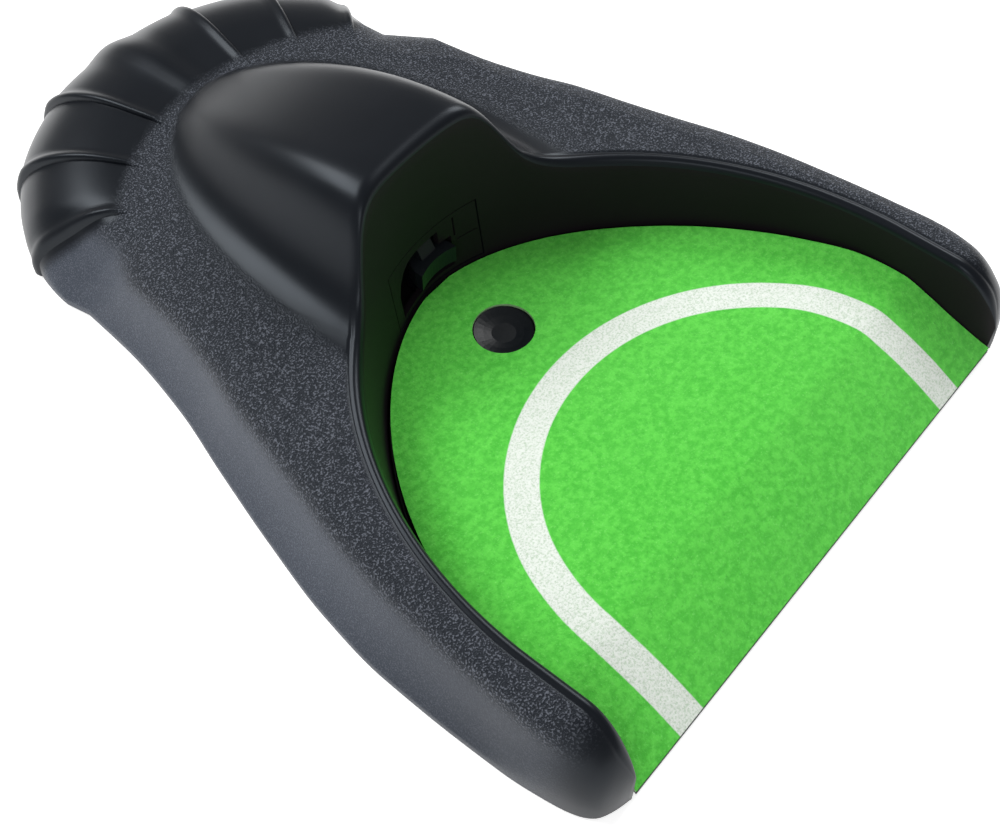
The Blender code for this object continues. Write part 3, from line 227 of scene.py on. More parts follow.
class Paint:
    """One material: its node tree, its shader, and ways to feed it."""

    def __init__(self, name, colour, roughness, metallic=0.0, **fixed):
        self.material = bpy.data.materials.new(name)
        self.material.use_nodes = True
        self.tree = self.material.node_tree
        self.shader = self.tree.nodes["Principled BSDF"]
        self.feed("Base Color", (*colour, 1.0) if isinstance(colour, tuple) else colour)
        self.feed("Roughness", roughness)
        self.feed("Metallic", metallic)
        for socket, value in fixed.items():
            self.feed(socket.replace("_", " "), value)

    def feed(self, socket, value):
        self._put(self.shader.inputs[socket], value)

    def _put(self, target, value):
        if isinstance(value, Socket):
            self.tree.links.new(value.socket, target)
        else:
            target.default_value = value

    def node(self, kind, settings=None, inputs=None, output=0):
        made = self.tree.nodes.new(kind)
        for key, value in (settings or {}).items():
            setattr(made, key, value)
        for key, value in (inputs or {}).items():
            self._put(made.inputs[key], value)
        return Socket(self, made.outputs[output])

    def position(self):
        return self.node("ShaderNodeTexCoord", output="Object")

    def axis(self, which):
        return self.node("ShaderNodeSeparateXYZ", inputs={"Vector": self.position()}, output=which)

    def noise(self, scale, detail=2.0, roughness=0.5):
        inputs = {"Vector": self.position(), "Scale": scale, "Detail": detail,
                  "Roughness": roughness}
        return self.node("ShaderNodeTexNoise", None, inputs)

    def painted(self, name):
        """A number that was painted on the mesh, point by point."""
        return self.node("ShaderNodeAttribute", {"attribute_name": name}, output="Fac")

    def mix(self, share, first, second):
        first = (*first, 1.0) if isinstance(first, tuple) else first
        second = (*second, 1.0) if isinstance(second, tuple) else second
        return self.node("ShaderNodeMix", {"data_type": "RGBA"},
                         {0: share, 6: first, 7: second}, output=2)

    def bump(self, height, distance, strength=1.0):
        self.feed("Normal", self.node("ShaderNodeBump", None,
                                      {"Height": height, "Distance": distance,
                                       "Strength": strength}))


print("materials can now be written as sums")

# %% [markdown]
# ## The cover: outline and recess
# The cover is one free-form moulding: no primitive comes near it. It is made the way its mould is
# drawn, as slices that run from the outer edge in to the rim of the recess. First come the outline,
# as a few places along the side and half an ellipse for the tail, and the wall round the ramp, which
# leans from a squarish foot to a rounder rim.

# %% Outline and recess wall
TAIL_CENTRE_Y, TAIL_HALF_WIDTH = 240.0, 79.0
FAN_CENTRE_Y, PLATE_INNER, PLATE_ANGLE = 174.0, 78.0, 14.0
RECESS_CENTRE_Y, RECESS_HALF_WIDTH, RECESS_DEPTH, RECESS_POWER = 38.0, 92.0, 114.2, 1.78
RIM_HALF_WIDTH, RIM_DEPTH = 92.3, 116.3
RECESS_LOW_Z, RECESS_HIGH_Z, WALL_FOOT_Z = 6.0, 31.3, 2.6
NOSE_LENGTH, NOSE_EDGE, NOSE_FLARE = 20.0, 13.0, 3.2
BOTTOM_Z, LIP_Z = 1.0, 4.0
SIDE = [
    (0.00, 77.2, 236.0), (0.10, 79.8, 211.0), (0.20, 85.3, 184.0), (0.30, 93.6, 157.0),
    (0.40, 101.8, 129.0), (0.50, 108.8, 101.0), (0.60, 112.4, 75.0), (0.70, 113.0, 51.0),
    (0.78, 112.7, 32.0), (0.85, 111.3, 18.0), (0.90, 109.5, 9.5), (0.94, 106.6, 4.4),
    (0.97, 101.6, 1.8), (1.00, 96.4, 0.4),
]
SIDE_ANGLES = [
    (0.00, 30.0), (0.10, 32.0), (0.20, 35.0), (0.30, 39.5), (0.40, 46.5), (0.50, 57.0),
    (0.60, 69.5), (0.70, 82.0), (0.74, 90.0),
]
SIDE_STRAIGHTS = [
    (0.74, RECESS_CENTRE_Y), (0.78, 30.0), (0.85, 17.0), (0.90, 10.0), (0.94, 5.6), (0.97, 2.8),
    (1.00, 1.0),
]


def tail_outline(bearing, out=0.0):
    """Where a ray from the middle of the fan meets the tail's outline."""
    low, high = 0.0, math.pi / 2
    for _ in range(36):
        turn = (low + high) / 2
        x = TAIL_HALF_WIDTH * math.sin(turn)
        y = TAIL_CENTRE_Y + (LENGTH - TAIL_CENTRE_Y) * math.cos(turn)
        if math.degrees(math.atan2(x, y - FAN_CENTRE_Y)) < abs(bearing):
            low = turn
        else:
            high = turn
    size = math.hypot(x, y - FAN_CENTRE_Y)
    grow = (size + out) / size
    return math.copysign(x * grow, bearing), FAN_CENTRE_Y + (y - FAN_CENTRE_Y) * grow


def recess_wall(angle, straight_y, z):
    """A point of the wall at height z: by angle round its back, or along an arm."""
    lean = (z - RECESS_LOW_Z) / (RECESS_HIGH_Z - RECESS_LOW_Z)
    if straight_y is not None:
        flare = NOSE_FLARE * max(0.0, 1 - straight_y / NOSE_LENGTH) ** 2
        return (RECESS_HALF_WIDTH + (RIM_HALF_WIDTH - RECESS_HALF_WIDTH) * lean + flare, straight_y)
    turn = math.radians(angle)
    power = 2 / RECESS_POWER
    side = math.copysign(1.0, turn)
    low = (side * RECESS_HALF_WIDTH * abs(math.sin(turn)) ** power,
           RECESS_CENTRE_Y + RECESS_DEPTH * max(0.0, math.cos(turn)) ** power)
    high = (RIM_HALF_WIDTH * math.sin(turn), RECESS_CENTRE_Y + RIM_DEPTH * math.cos(turn))
    return low[0] + (high[0] - low[0]) * lean, low[1] + (high[1] - low[1]) * lean


print("tail ends", round(tail_outline(0.0)[1], 1), "mm behind the lip")

# %% [markdown]
# ## The cover: heights
# Over the plan lie four forms: a flat surround, a skirt that flares out like a bell, the hood, and
# the lapped plates of the tail, each with a rounded lip that stands over its neighbour. Each is a
# small function of the place in plan, so they blend with no seams, as on the moulding.

# %% Surround, skirt, hood and plates
DECK_TOP_Z, TAIL_TOP_Z, TAIL_EDGE = 32.5, 30.5, 38.0
HOOD_RISE, HOOD_FRONT_Y, HOOD_LENGTH, HOOD_HALF_WIDTH = 35.0, 158.0, 98.0, 48.5
SKIRT_WIDTHS = [(20.0, 5.0), (40.0, 6.5), (60.0, 8.5), (85.0, 10.0), (165.0, 10.5), (190.0, 13.5),
                (212.0, 17.0), (236.0, 21.0), (256.0, 24.0)]
SKIRT_PROFILE = [(0.0, 0.0), (0.30, 0.15), (0.60, 0.37), (0.85, 0.66), (1.05, 0.86), (1.35, 0.955),
                 (1.9, 1.0)]


def surround_top(y):
    flat = DECK_TOP_Z - (DECK_TOP_Z - TAIL_TOP_Z) * ease((y - 150.0) / 100.0)
    fall = max(0.0, 1 - y / NOSE_LENGTH)
    return LIP_Z + (flat - LIP_Z) * math.sqrt(max(0.0, 1 - fall**1.9))


def hood_rise(x, y):
    back = (y - HOOD_FRONT_Y) / HOOD_LENGTH
    if back >= 1:
        return 0.0
    spread = min(1.0, max(0.0, (y - 150.0) / (HOOD_FRONT_Y + HOOD_LENGTH - 150.0)))
    half = max((HOOD_HALF_WIDTH - 4.0 * spread) * math.sqrt(1 - spread**3.3), 0.5)
    crown = HOOD_RISE * (1 - max(0.0, back) ** 1.7)
    return crown / (1 + (abs(x) / (0.70 * half)) ** (8 - 3 * spread**4))


def plate_lip(bearing):
    """Height of a plate's raised lip, as a share: it swells, rounds over and drops sharply."""
    bearing = abs(bearing)
    if bearing > 3 * PLATE_ANGLE:
        return 0.0
    along = bearing % PLATE_ANGLE / PLATE_ANGLE
    swell = 0.45 * along**1.5 + 0.55 * ease((along - 0.84) / 0.10)
    if along > 0.955:
        swell *= math.sqrt(max(0.0, 1 - ((along - 0.955) / 0.047) ** 2))
    if bearing < PLATE_ANGLE / 2:
        swell = max(swell, 0.8 * ease(1 - bearing / 5.5))
    return swell


class Slice:
    """One slice of the cover, from the outline in to the rim of the recess."""

    def __init__(self, outer, angle, straight_y, tail_share=0.0, lip=0.0, knee=None):
        self.outer, self.angle, self.straight_y = outer, angle, straight_y
        self.tail_share, self.lip = tail_share, lip
        z = DECK_TOP_Z
        for _ in range(12):
            self.rim = recess_wall(angle, straight_y, z)
            z = surround_top(self.rim[1]) + hood_rise(*self.rim)
        self.rim_z = z
        self.knee = knee or [0.6 * o + 0.4 * r for o, r in zip(self.outer, self.rim)]
        self.first = math.dist(self.outer, self.knee)
        self.span = self.first + math.dist(self.knee, self.rim)

    def at(self, distance):
        if distance < self.first:
            start, end, share = self.outer, self.knee, distance / self.first
        else:
            start, end = self.knee, self.rim
            share = (distance - self.first) / (self.span - self.first)
        return tuple(a + (b - a) * share for a, b in zip(start, end))

    def outer_band(self):
        """Width of the curved stretch next to the outline."""
        return min(TAIL_EDGE, 0.60 * self.span)

    def height(self, distance):
        x, y = self.at(min(max(distance, 0.0), self.span))
        skirt = min(read_curve(SKIRT_WIDTHS, self.outer[1]), 0.62 * self.span)
        concave = read_curve(SKIRT_PROFILE, distance / skirt)
        tail = math.sqrt(1 - max(0.0, 1 - distance / TAIL_EDGE) ** 2)
        nose = math.sqrt(1 - max(0.0, 1 - distance / min(NOSE_EDGE, 0.8 * self.span)) ** 2)
        nose_share = ease((42.0 - self.outer[1]) / 32.0)
        share = concave + (tail - concave) * self.tail_share + (nose - concave) * nose_share
        reach = math.hypot(x, y - FAN_CENTRE_Y)
        lip = PLATE_LIP * self.lip * ease((reach - PLATE_INNER) / 8.0) * ease(distance / 5.0)
        return LIP_Z + (surround_top(y) - LIP_Z) * share + lip + hood_rise(x, y)


print("hood stands", round(surround_top(158) + hood_rise(0, 158), 1), "mm over the floor")

# %% [markdown]
# ## The cover: slices to a skin
# The slices crowd together where a plate drops to the next one and where the noses round off. Each
# has the same number of points, so neighbours join with four-sided faces. The last few points of
# each slice make the thin polished bead that runs along the rim.

# %% Lay out the slices
side_slices = []
for spot in np.concatenate([np.linspace(0.008, 0.74, 72), np.linspace(0.75, 1.0, 34)]):
    outer = (read_curve([(k[0], k[1]) for k in SIDE], spot),
             read_curve([(k[0], k[2]) for k in SIDE], spot))
    if spot <= 0.74:
        side_slices.append(Slice(outer, read_curve(SIDE_ANGLES, spot), None))
    else:
        side_slices.append(Slice(outer, 90.0, read_curve(SIDE_STRAIGHTS, spot)))

ALONG_PLATE = [0.04, 0.12, 0.22, 0.33, 0.44, 0.53, 0.60, 0.66, 0.72, 0.78, 0.83, 0.88, 0.92, 0.95,
               0.965, 0.98, 0.99, 0.997, 1.003]
bearings = [0.0]
for plate in range(3):
    bearings += [PLATE_ANGLE * (plate + share) for share in ALONG_PLATE]
bearings += list(np.linspace(3 * PLATE_ANGLE + 0.6, 48.9, 10))
tail_slices = []
for bearing in [-b for b in reversed(bearings[1:])] + bearings:
    turn = math.radians(bearing)
    knee = (PLATE_INNER * math.sin(turn), FAN_CENTRE_Y + PLATE_INNER * math.cos(turn))
    lip = plate_lip(bearing)
    share = ease((50.0 - abs(bearing)) / 14.0)
    tail_slices.append(Slice(tail_outline(bearing, PLATE_LIP * lip), 29.8 * bearing / 48.9, None,
                             share, lip, knee))
print(2 * len(side_slices) + len(tail_slices), "slices")

# %% Turn each slice into a closed ring of points
BEAD = [(4.2, 0.0), (3.7, -0.22), (3.2, -0.16), (2.6, 0.18), (2.0, 0.22), (1.3, 0.02), (0.75, -0.32),
        (0.32, -0.82), (0.06, -1.45)]
ROUNDED = [-0.02, -0.06, -0.13, -0.26, -0.46, -0.80, -1.20, -1.68, -2.25]
WALL_POINTS = 14


def ring_of(cut):
    """Points from the foot, up the skirt, over the top, round the bead and down the wall."""
    bead_scale = min(1.0, cut.span / 14.0)
    edge = cut.outer_band()
    last = cut.span - 4.8 * bead_scale
    points = [(*cut.at(0.0), BOTTOM_Z), (*cut.at(0.0), 2.2)]
    for share in np.linspace(0.0, 1.0, 26) ** 1.35:
        points.append((*cut.at(edge * share), cut.height(edge * share)))
    for share in np.linspace(0.0, 1.0, 44)[1:]:
        d = edge + (last - edge) * share
        points.append((*cut.at(d), cut.height(d)))
    hooded = ease((hood_rise(*cut.rim) - 1.0) / 10.0)
    for (reach, bead_rise), round_rise in zip(BEAD, ROUNDED):
        d = cut.span - reach * bead_scale
        rise = bead_rise + (round_rise - bead_rise) * hooded
        points.append((*cut.at(d), cut.height(d) + rise * bead_scale))
    top = cut.rim_z - (2.3 + 0.8 * hooded) * bead_scale
    for share in np.linspace(0.0, 1.0, WALL_POINTS):
        z = top + (WALL_FOOT_Z - top) * share
        points.append((*recess_wall(cut.angle, cut.straight_y, z), z))
    return points


def skin(name, rings):
    """Joins rings of equal length into a closed skin, with its faces turned outwards."""
    count = len(rings[0])
    shape = bmesh.new()
    rows = [[shape.verts.new(place(p)) for p in ring] for ring in rings]
    for low, high in zip(rows, rows[1:]):
        for i in range(count):
            j = (i + 1) % count
            shape.faces.new((low[i], low[j], high[j], high[i]))
    shape.faces.new(rows[0])
    shape.faces.new(list(reversed(rows[-1])))
    bmesh.ops.recalc_face_normals(shape, faces=shape.faces)
    mesh = bpy.data.meshes.new(name)
    shape.to_mesh(mesh)
    shape.free()
    made = bpy.data.objects.new(name, mesh)
    bpy.context.scene.collection.objects.link(made)
    return made


right = [ring_of(cut) for cut in side_slices]
left = [[(-x, y, z) for x, y, z in ring] for ring in reversed(right)]
cover = skin("cover", left + [ring_of(cut) for cut in tail_slices] + right)
for part in ("outside", "recess_wall"):
    cover.data.materials.append(bpy.data.materials.new(part))
around = len(right[0])
for face in cover.data.polygons[:-2]:
    face.material_index = 1 if face.index % around >= around - WALL_POINTS else 0
print("cover:", len(cover.data.polygons), "faces")

# %% [markdown]
# ## Hollowing the cover
# The real cover is a shell about 2.4 mm thick, open below, with a window for the kicker in its rear
# wall. A second, coarser skin fills the space inside it, and a Boolean takes it away. Two boxes cut
# the window and the notch that the trigger's lever passes through.

# %% Take away the inside, the window and the notch
SHELL = 2.4


def hollow_ring(cut):
    """The space inside the shell at a slice, down past the bottom edge."""
    span = cut.span
    points = [(*cut.at(SHELL), -5.0)]
    edge = cut.outer_band()
    for share in np.linspace(0.0, 1.0, 9) ** 1.3:
        d = SHELL + (edge - SHELL) * share
        points.append((*cut.at(d), cut.height(d - SHELL) - SHELL - 1.7 * cut.lip))
    last = span - 2.0 * SHELL
    for share in np.linspace(0.0, 1.0, 14)[1:]:
        d = edge + (last - edge) * share
        x, y = cut.at(d)
        roof = surround_top(y) + 0.86 * hood_rise(1.05 * x, y + 2.0) - SHELL
        points.append((x, y, min(roof, cut.height(d) - SHELL)))
    top = cut.rim_z - SHELL - 2.5
    for share in np.linspace(0.0, 1.0, 5):
        z = top + (-5.0 - top) * share
        x, y = recess_wall(cut.angle, cut.straight_y, z)
        if cut.straight_y is None:
            turn = math.radians(cut.angle)
            across = (math.sin(turn) / RIM_HALF_WIDTH, math.cos(turn) / RIM_DEPTH)
            size = math.hypot(*across)
            x, y = x + SHELL * across[0] / size, y + SHELL * across[1] / size
        else:
            x += SHELL
        points.append((x, y, z))
    return points


inner_right = [hollow_ring(cut) for cut in side_slices[::3] if cut.rim[1] > 17.0]
inner_left = [[(-x, y, z) for x, y, z in ring] for ring in reversed(inner_right)]
hollow = skin("hollow", inner_left + [hollow_ring(cut) for cut in tail_slices[::3]] + inner_right)


def cutting_box(name, low, high):
    """A box between two corners, to be taken away from another piece."""
    low, high = Vector(place(low)), Vector(place(high))
    bpy.ops.object.select_all(action="DESELECT")
    bpy.ops.mesh.primitive_cube_add(size=1.0, location=(low + high) / 2, scale=high - low)
    bpy.ops.object.transform_apply(location=True, rotation=True, scale=True)
    bpy.context.object.name = name
    return bpy.context.object


def take_away(piece, tool):
    """Cuts a tool's shape out of a piece and removes the tool."""
    bpy.ops.object.select_all(action="DESELECT")
    piece.select_set(True)
    bpy.context.view_layer.objects.active = piece
    cut = piece.modifiers.new("cut", "BOOLEAN")
    cut.operation, cut.solver, cut.object = "DIFFERENCE", "EXACT", tool
    bpy.ops.object.modifier_apply(modifier=cut.name)
    bpy.data.objects.remove(tool)


take_away(cover, hollow)
take_away(cover, cutting_box("window", (-22.0, 146.0, 7.0), (20.5, 166.0, 31.0)))
take_away(cover, cutting_box("notch", (-6.0, 146.0, 0.0), (6.0, 160.0, 5.4)))
bpy.ops.object.shade_smooth_by_angle(angle=math.radians(38))
print("hollowed cover:", len(cover.data.polygons), "faces")

# %% [markdown]
# ## Where each texture lies
# The mould leaves a pebble grain on the flat surround and a finer one on the skirt, and is polished
# on the hood, the plates, the rim and the wall. Where each lies follows the form, so it is painted on
# the mesh point by point as a number from 0 to 1, and the material reads it back.
# The skirt's number also sets a paler bluish tone there: a painted sheen.

# %% Paint the pebble grain
def grain_at(x, y, z):
    """(pebble grain, fine grain that also sets a painted sheen) at a point of the cover."""
    side = abs(x)
    in_recess = (side / RIM_HALF_WIDTH) ** 2
    in_recess += (max(0.0, y - RECESS_CENTRE_Y) / RIM_DEPTH) ** 2
    from_rim = (math.sqrt(in_recess) - 1) * RIM_HALF_WIDTH
    off_bead = ease((from_rim - 3.4) / 1.6)
    hood = hood_rise(x, y)
    off_hood = 1 - ease((hood - 0.35) / 1.1)
    reach = math.hypot(x, y - FAN_CENTRE_Y)
    bearing = abs(math.degrees(math.atan2(side, y - FAN_CENTRE_Y)))
    on_plates = ease((reach - PLATE_INNER - 2.0) / 5.0) * ease((44.5 - bearing) / 2.0)
    flat = surround_top(y)
    # Pebble grain lies on top and fine grain below it; the fine grain's number also paints a paler sheen
    # low on the skirt.
    high = ease((z - (flat - 11.0)) / 9.5)
    # The fine grain and its painted sheen are both weaker towards the front.
    sheen = 0.45 + 0.55 * ease((y - 20.0) / 100.0)
    off_nose = ease((y - 9.0) / 16.0)
    top = off_bead * off_hood * off_nose * (1 - on_plates)
    return top * high, top * (1 - high) * sheen


pebble = cover.data.attributes.new("pebble", "FLOAT", "POINT")
# The fine grain's number also sets the skirt's painted sheen.
fine = cover.data.attributes.new("fine", "FLOAT", "POINT")
grain = [grain_at(v.co.x / MM, v.co.y / MM - FRONT_Y, v.co.z / MM) for v in cover.data.vertices]
pebble.data.foreach_set("value", [coarse for coarse, _ in grain])
fine.data.foreach_set("value", [light for _, light in grain])
print("pebble grain on", sum(coarse > 0.5 for coarse, _ in grain), "of", len(grain), "points")

# %% Moulded black plastic, with painted glints and a painted sheen
cover_paint = Paint("moulded_black", (0.004, 0.005, 0.007), 0.30, Specular_IOR_Level=0.24,
                    Specular_Tint=(0.80, 0.90, 1.0, 1.0))
pebbles, fine_grain_and_sheen = cover_paint.painted("pebble"), cover_paint.painted("fine")
broad = cover_paint.noise(60.0, 2.0)
grains = cover_paint.noise(1700.0, 1.5, 0.55)
tiny = cover_paint.noise(2400.0, 1.0)
# Pale specks painted into the base colour on both grains stand in for glints of light: a painted
# highlight.
painted_glint = grains.step(0.51, 0.66) * pebbles + tiny.step(0.48, 0.68) * fine_grain_and_sheen * 0.55
body = cover_paint.mix(broad, (0.003, 0.004, 0.006), (0.005, 0.006, 0.009))
body = cover_paint.mix(pebbles, body, (0.012, 0.014, 0.019))
# The skirt is lifted to a paler bluish grey: a painted sheen, not a colour of the plastic.
body = cover_paint.mix(fine_grain_and_sheen, body, (0.050, 0.058, 0.076))
cover_paint.feed("Base Color", cover_paint.mix(painted_glint * 0.46, body, (0.24, 0.26, 0.31)))
cover_paint.feed("Roughness", 0.30 + pebbles * 0.10 + fine_grain_and_sheen * 0.14 + broad * 0.05)
cover_paint.bump(grains * pebbles + tiny * fine_grain_and_sheen * 0.4 + broad * 0.05, 0.0006, 1.0)
wall_paint = Paint("smooth_wall", (0.006, 0.006, 0.006), 0.42, Specular_IOR_Level=0.10)
streak = wall_paint.noise(35.0, 2.0)
wall_paint.feed("Base Color", wall_paint.mix(streak, (0.008, 0.006, 0.008), (0.012, 0.009, 0.012)))
wall_paint.feed("Roughness", 0.38 + streak * 0.10)
cover.data.materials[0] = cover_paint.material
cover.data.materials[1] = wall_paint.material
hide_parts("top_housing")
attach(cover, "chassis")
print("cover painted")

# %% [markdown]
# ## The felt ramp
# The ramp's cover is green felt, cut as one sheet and glued over the plastic ramp. Its front edge is
# open to the ball, it rises over a crest that holds the ball back, and falls to a round hole. It is
# built row by row, from the lip to the back wall, at the curve the ramp has from the side.

# %% Lay the felt
MAT_TOP = [
    (0.0, 2.8), (11.4, 9.2), (22.8, 14.0), (34.2, 17.0), (47.5, 16.7), (66.5, 14.0), (95.0, 10.2),
    (123.0, 7.5), (153.0, 6.3),
]
MAT_GAP, FELT_THICKNESS = 0.4, 1.0
HOLE_Y, HOLE_RADIUS = 123.0, 10.1
COLUMNS = 150


def felt_half_width(y):
    """Half the width of the felt at y, a small gap in from the wall's foot."""
    if y <= RECESS_CENTRE_Y:
        return recess_wall(90.0, y, WALL_FOOT_Z)[0] - MAT_GAP
    low, high = 0.0, 90.0
    for _ in range(30):
        angle = (low + high) / 2
        if recess_wall(angle, None, WALL_FOOT_Z)[1] - MAT_GAP > y:
            low = angle
        else:
            high = angle
    return max(0.5, recess_wall(low, None, WALL_FOOT_Z)[0] - MAT_GAP)


BACK_Y = recess_wall(0.01, None, WALL_FOOT_Z)[1] - MAT_GAP - 0.6
rows = list(np.linspace(0.3, RECESS_CENTRE_Y, 34))
rows += [RECESS_CENTRE_Y + (BACK_Y - RECESS_CENTRE_Y) * math.sin(t)
         for t in np.linspace(0.0, math.pi / 2, 110)[1:]]
felt_mesh = bmesh.new()
grid = []
for y in rows:
    half, z = felt_half_width(y), read_curve(MAT_TOP, y)
    grid.append([felt_mesh.verts.new(place((half * (2 * i / COLUMNS - 1), y, z)))
                 for i in range(COLUMNS + 1)])
for near, far in zip(grid, grid[1:]):
    for i in range(COLUMNS):
        felt_mesh.faces.new((near[i], near[i + 1], far[i + 1], far[i]))
felt_area = sum(f.calc_area() for f in felt_mesh.faces)
felt_data = bpy.data.meshes.new("felt")
felt_mesh.to_mesh(felt_data)
felt_mesh.free()
felt = bpy.data.objects.new("felt", felt_data)
bpy.context.scene.collection.objects.link(felt)
arc = sum(math.hypot(b - a, read_curve(MAT_TOP, b) - read_curve(MAT_TOP, a))
          for a, b in zip(rows, rows[1:]))
print("felt", round(felt_area * 1e4, 1), "cm2, cut", round(arc, 1), "mm long")

# %% [markdown]
# ## Thickness and the hole
# Felt has a body of its own, so the sheet is thickened downwards by a millimetre and the hole is
# punched through it. The cut edge it leaves is paler than the face, as on real felt.

# %% Thicken the felt and punch the hole
bpy.ops.object.select_all(action="DESELECT")
felt.select_set(True)
bpy.context.view_layer.objects.active = felt
thickening = felt.modifiers.new("thickness", "SOLIDIFY")
thickening.thickness = FELT_THICKNESS * MM
thickening.offset = -1.0
thickening.use_even_offset = True
bpy.ops.object.modifier_apply(modifier=thickening.name)
bpy.ops.object.select_all(action="DESELECT")
bpy.ops.mesh.primitive_cylinder_add(vertices=96, radius=HOLE_RADIUS * MM, depth=0.03,
                                    location=place((0.0, HOLE_Y, 8.0)))
bpy.ops.object.transform_apply(location=True, rotation=True, scale=True)
take_away(felt, bpy.context.object)
for vertex in felt.data.vertices:
    x, y, z = vertex.co
    fluff = noise.noise(Vector((x, y, z)) * 900.0) + 0.6 * noise.noise(Vector((x, y, z)) * 260.0)
    vertex.co.z += 0.00003 * fluff
bpy.ops.object.shade_smooth_by_angle(angle=math.radians(40))
hole_area = math.pi * (HOLE_RADIUS * MM) ** 2
print("felt:", len(felt.data.polygons), "faces")

# %% [markdown]
# ## The printed line
# A white band is printed on the felt: two straight legs from the front edge, joined by half a ring.
# It frames the way in for the ball. The band is a test on the distance from its middle line, so its
# edges stay sharp, with a little felt showing through.

# %% Green felt with a white band
felt_paint = Paint("green_felt", (0.085, 0.60, 0.045), 0.95)
LEG_MIDDLE, LEG_HALF, BEND_Y = 69.25, 5.35, 28.0
across = abs(felt_paint.axis(0))
along = (felt_paint.axis(1) - (BEND_Y + FRONT_Y) * MM).at_least(0.0)
from_middle = (across * across + along * along * 1.04).power(0.5)
fibre = felt_paint.noise(1500.0, 3.0, 0.65)
clump = felt_paint.noise(420.0, 2.0, 0.6)
patch = felt_paint.noise(45.0, 2.0)
off_line = abs(from_middle - LEG_MIDDLE * MM) + (fibre - 0.5) * 0.0006
band = 1.0 - off_line.step((LEG_HALF - 0.25) * MM, (LEG_HALF + 0.25) * MM)
green = felt_paint.mix(clump.step(0.32, 0.70), (0.050, 0.500, 0.026), (0.110, 0.680, 0.060))
green = felt_paint.mix(patch * 0.35, green, (0.125, 0.640, 0.075))
green = felt_paint.mix(fibre.step(0.56, 0.72) * 0.45, green, (0.240, 0.800, 0.170))
green = felt_paint.mix((1.0 - fibre.step(0.28, 0.42)) * 0.45, green, (0.022, 0.300, 0.012))
white = felt_paint.mix(fibre.step(0.30, 0.60), (0.560, 0.660, 0.540), (0.880, 0.900, 0.870))
felt_paint.feed("Base Color", felt_paint.mix(band * 0.94, green, white))
felt_paint.feed("Roughness", 0.90 + fibre * 0.10)
felt_paint.feed("Sheen Weight", 0.25)
felt_paint.feed("Sheen Roughness", 0.5)
felt_paint.bump(fibre * 0.6 + clump, 0.0004, 0.7)

edge_paint = Paint("felt_cut_edge", (0.36, 0.62, 0.30), 0.95)
strand = edge_paint.noise(1800.0, 2.0)
edge_paint.feed("Base Color", edge_paint.mix(strand, (0.22, 0.52, 0.17), (0.52, 0.74, 0.45)))
edge_paint.bump(strand, 0.0003, 0.6)
felt.data.materials.clear()
felt.data.materials.append(felt_paint.material)
felt.data.materials.append(edge_paint.material)
for face in felt.data.polygons:
    face.material_index = 1 if abs(face.normal.z) < 0.5 else 0
felt_area - hole_area
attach(felt, "chassis")
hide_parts("putting_mat")
print("felt laid and printed")

# %% [markdown]
# ## Finishes for the other pieces
# Every other piece keeps its shape and takes a finish from the material it is made of: white
# acetal for the gears, nickel for the contacts, rubber for the feet. Each finish gets a little unevenness,
# because no real surface is the same all over.

# %% One finish for each material
def moulded(name, colour, roughness, grain=0.00012, scale=700.0, **fixed):
    """A moulded plastic with a faint grain."""
    paint = Paint(name, colour, roughness, **fixed)
    texture = paint.noise(scale, 2.0)
    lighter = tuple(min(1.0, c * 1.25 + 0.002) for c in colour)
    paint.feed("Base Color", paint.mix(texture, colour, lighter))
    paint.feed("Roughness", roughness - 0.05 + texture * 0.1)
    paint.bump(texture, grain, 0.5)
    return paint


def polished(name, colour, roughness):
    """A bare metal with fine wear."""
    paint = Paint(name, colour, roughness, 1.0)
    wear = paint.noise(240.0, 4.0, 0.6)
    paint.feed("Roughness", roughness - 0.06 + wear * 0.14)
    paint.feed("Base Color", paint.mix(wear, colour, tuple(c * 0.82 for c in colour)))
    return paint


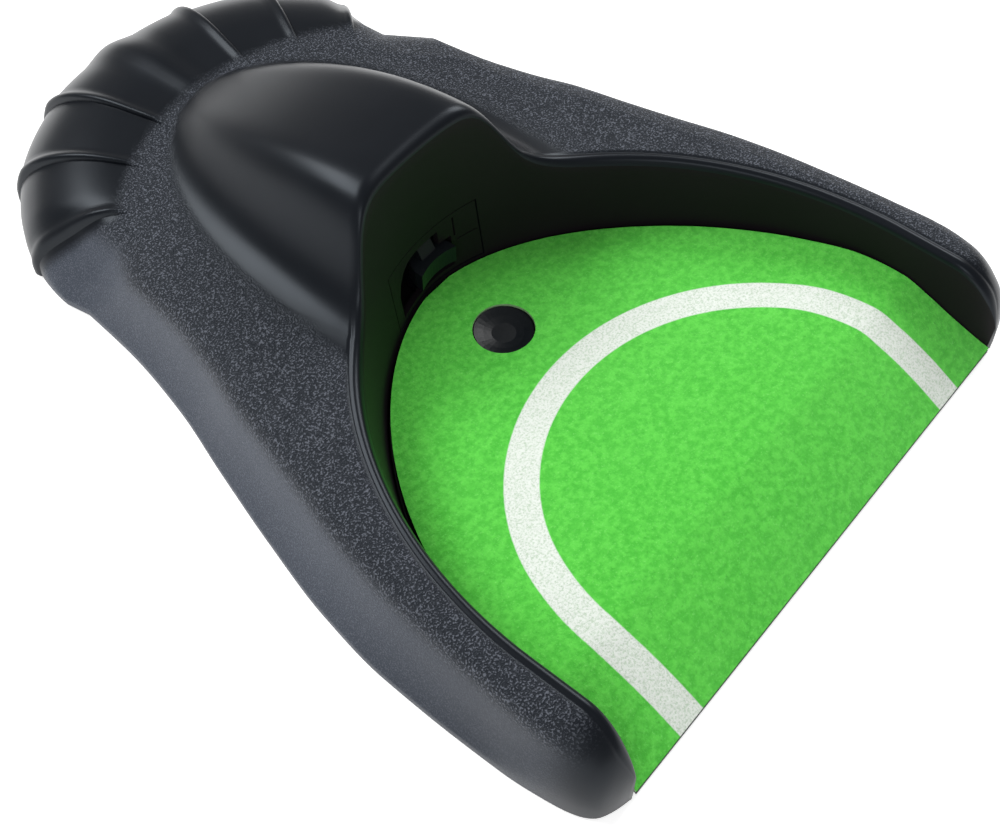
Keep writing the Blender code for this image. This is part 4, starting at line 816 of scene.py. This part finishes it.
finishes = {
    "housing_black": moulded("satin_black", (0.007, 0.008, 0.010), 0.42),
    "base_black": moulded("base_black", (0.008, 0.009, 0.010), 0.55, 0.0002),
    "green_felt": felt_paint,
    "kicker_grey": moulded("kicker_grey", (0.006, 0.008, 0.010), 0.32, 0.00004,
                           Specular_IOR_Level=0.16),
    "gear_white": moulded("gear_white", (0.72, 0.72, 0.68), 0.45, 0.00006),
    "rubber_black": moulded("rubber_black", (0.016, 0.016, 0.017), 0.85, 0.0003),
    "cell_sleeve": moulded("cell_sleeve", (0.020, 0.12, 0.16), 0.30, 0.00003),
    "contact_brass": polished("nickel_contact", (0.72, 0.68, 0.58), 0.28),
    "board_green": moulded("board_lacquer", (0.012, 0.14, 0.045), 0.35, 0.00004),
    "capacitor_sleeve": moulded("capacitor_sleeve", (0.020, 0.024, 0.060), 0.35, 0.00003),
    "wire_red": moulded("wire_red", (0.50, 0.020, 0.016), 0.45, 0.00004),
    "wire_black": moulded("wire_black", (0.014, 0.014, 0.014), 0.45, 0.00004),
    "shaft_steel": polished("shaft_steel", (0.62, 0.63, 0.65), 0.22),
    "screw_steel": polished("screw_steel", (0.56, 0.56, 0.57), 0.32),
}
print(len(finishes), "finishes, one for each material")

# %% [markdown]
# ## Putting the finishes on
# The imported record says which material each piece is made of. A piece that shows its moulded form,
# such as the kicker, is smoothed over its gentle bends and left sharp at its edges.

# %% Give each piece its finish
GENTLE_BEND, DISH_BEND = 32.0, 58.0
for part in frame["record"]["subparts"]:
    piece = nodes[part["node"]]
    piece.data.materials.clear()
    piece.data.materials.append(finishes[part["material_slot"]].material)
    bpy.ops.object.select_all(action="DESELECT")
    piece.hide_set(False)
    piece.select_set(True)
    bpy.context.view_layer.objects.active = piece
    bend = DISH_BEND if part["node"] == "trigger_lever" else GENTLE_BEND
    bpy.ops.object.shade_smooth_by_angle(angle=math.radians(bend))
nodes["kicker_bezel"].data.materials.clear()
nodes["kicker_bezel"].data.materials.append(wall_paint.material)

# %% [markdown]
# The two boxes, of the moving model and of the visible one, are measured and printed side by side.
# The visible model has to stay inside the moving one.

# %% Measure both boxes
visual_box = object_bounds()
boxes = {"cad": [list(corner) for corner in cad_box],
         "visual": [list(corner) for corner in visual_box]}
for name, (low, high) in boxes.items():
    print(name, [round((b - a) * 1000, 1) for a, b in zip(low, high)], "mm")
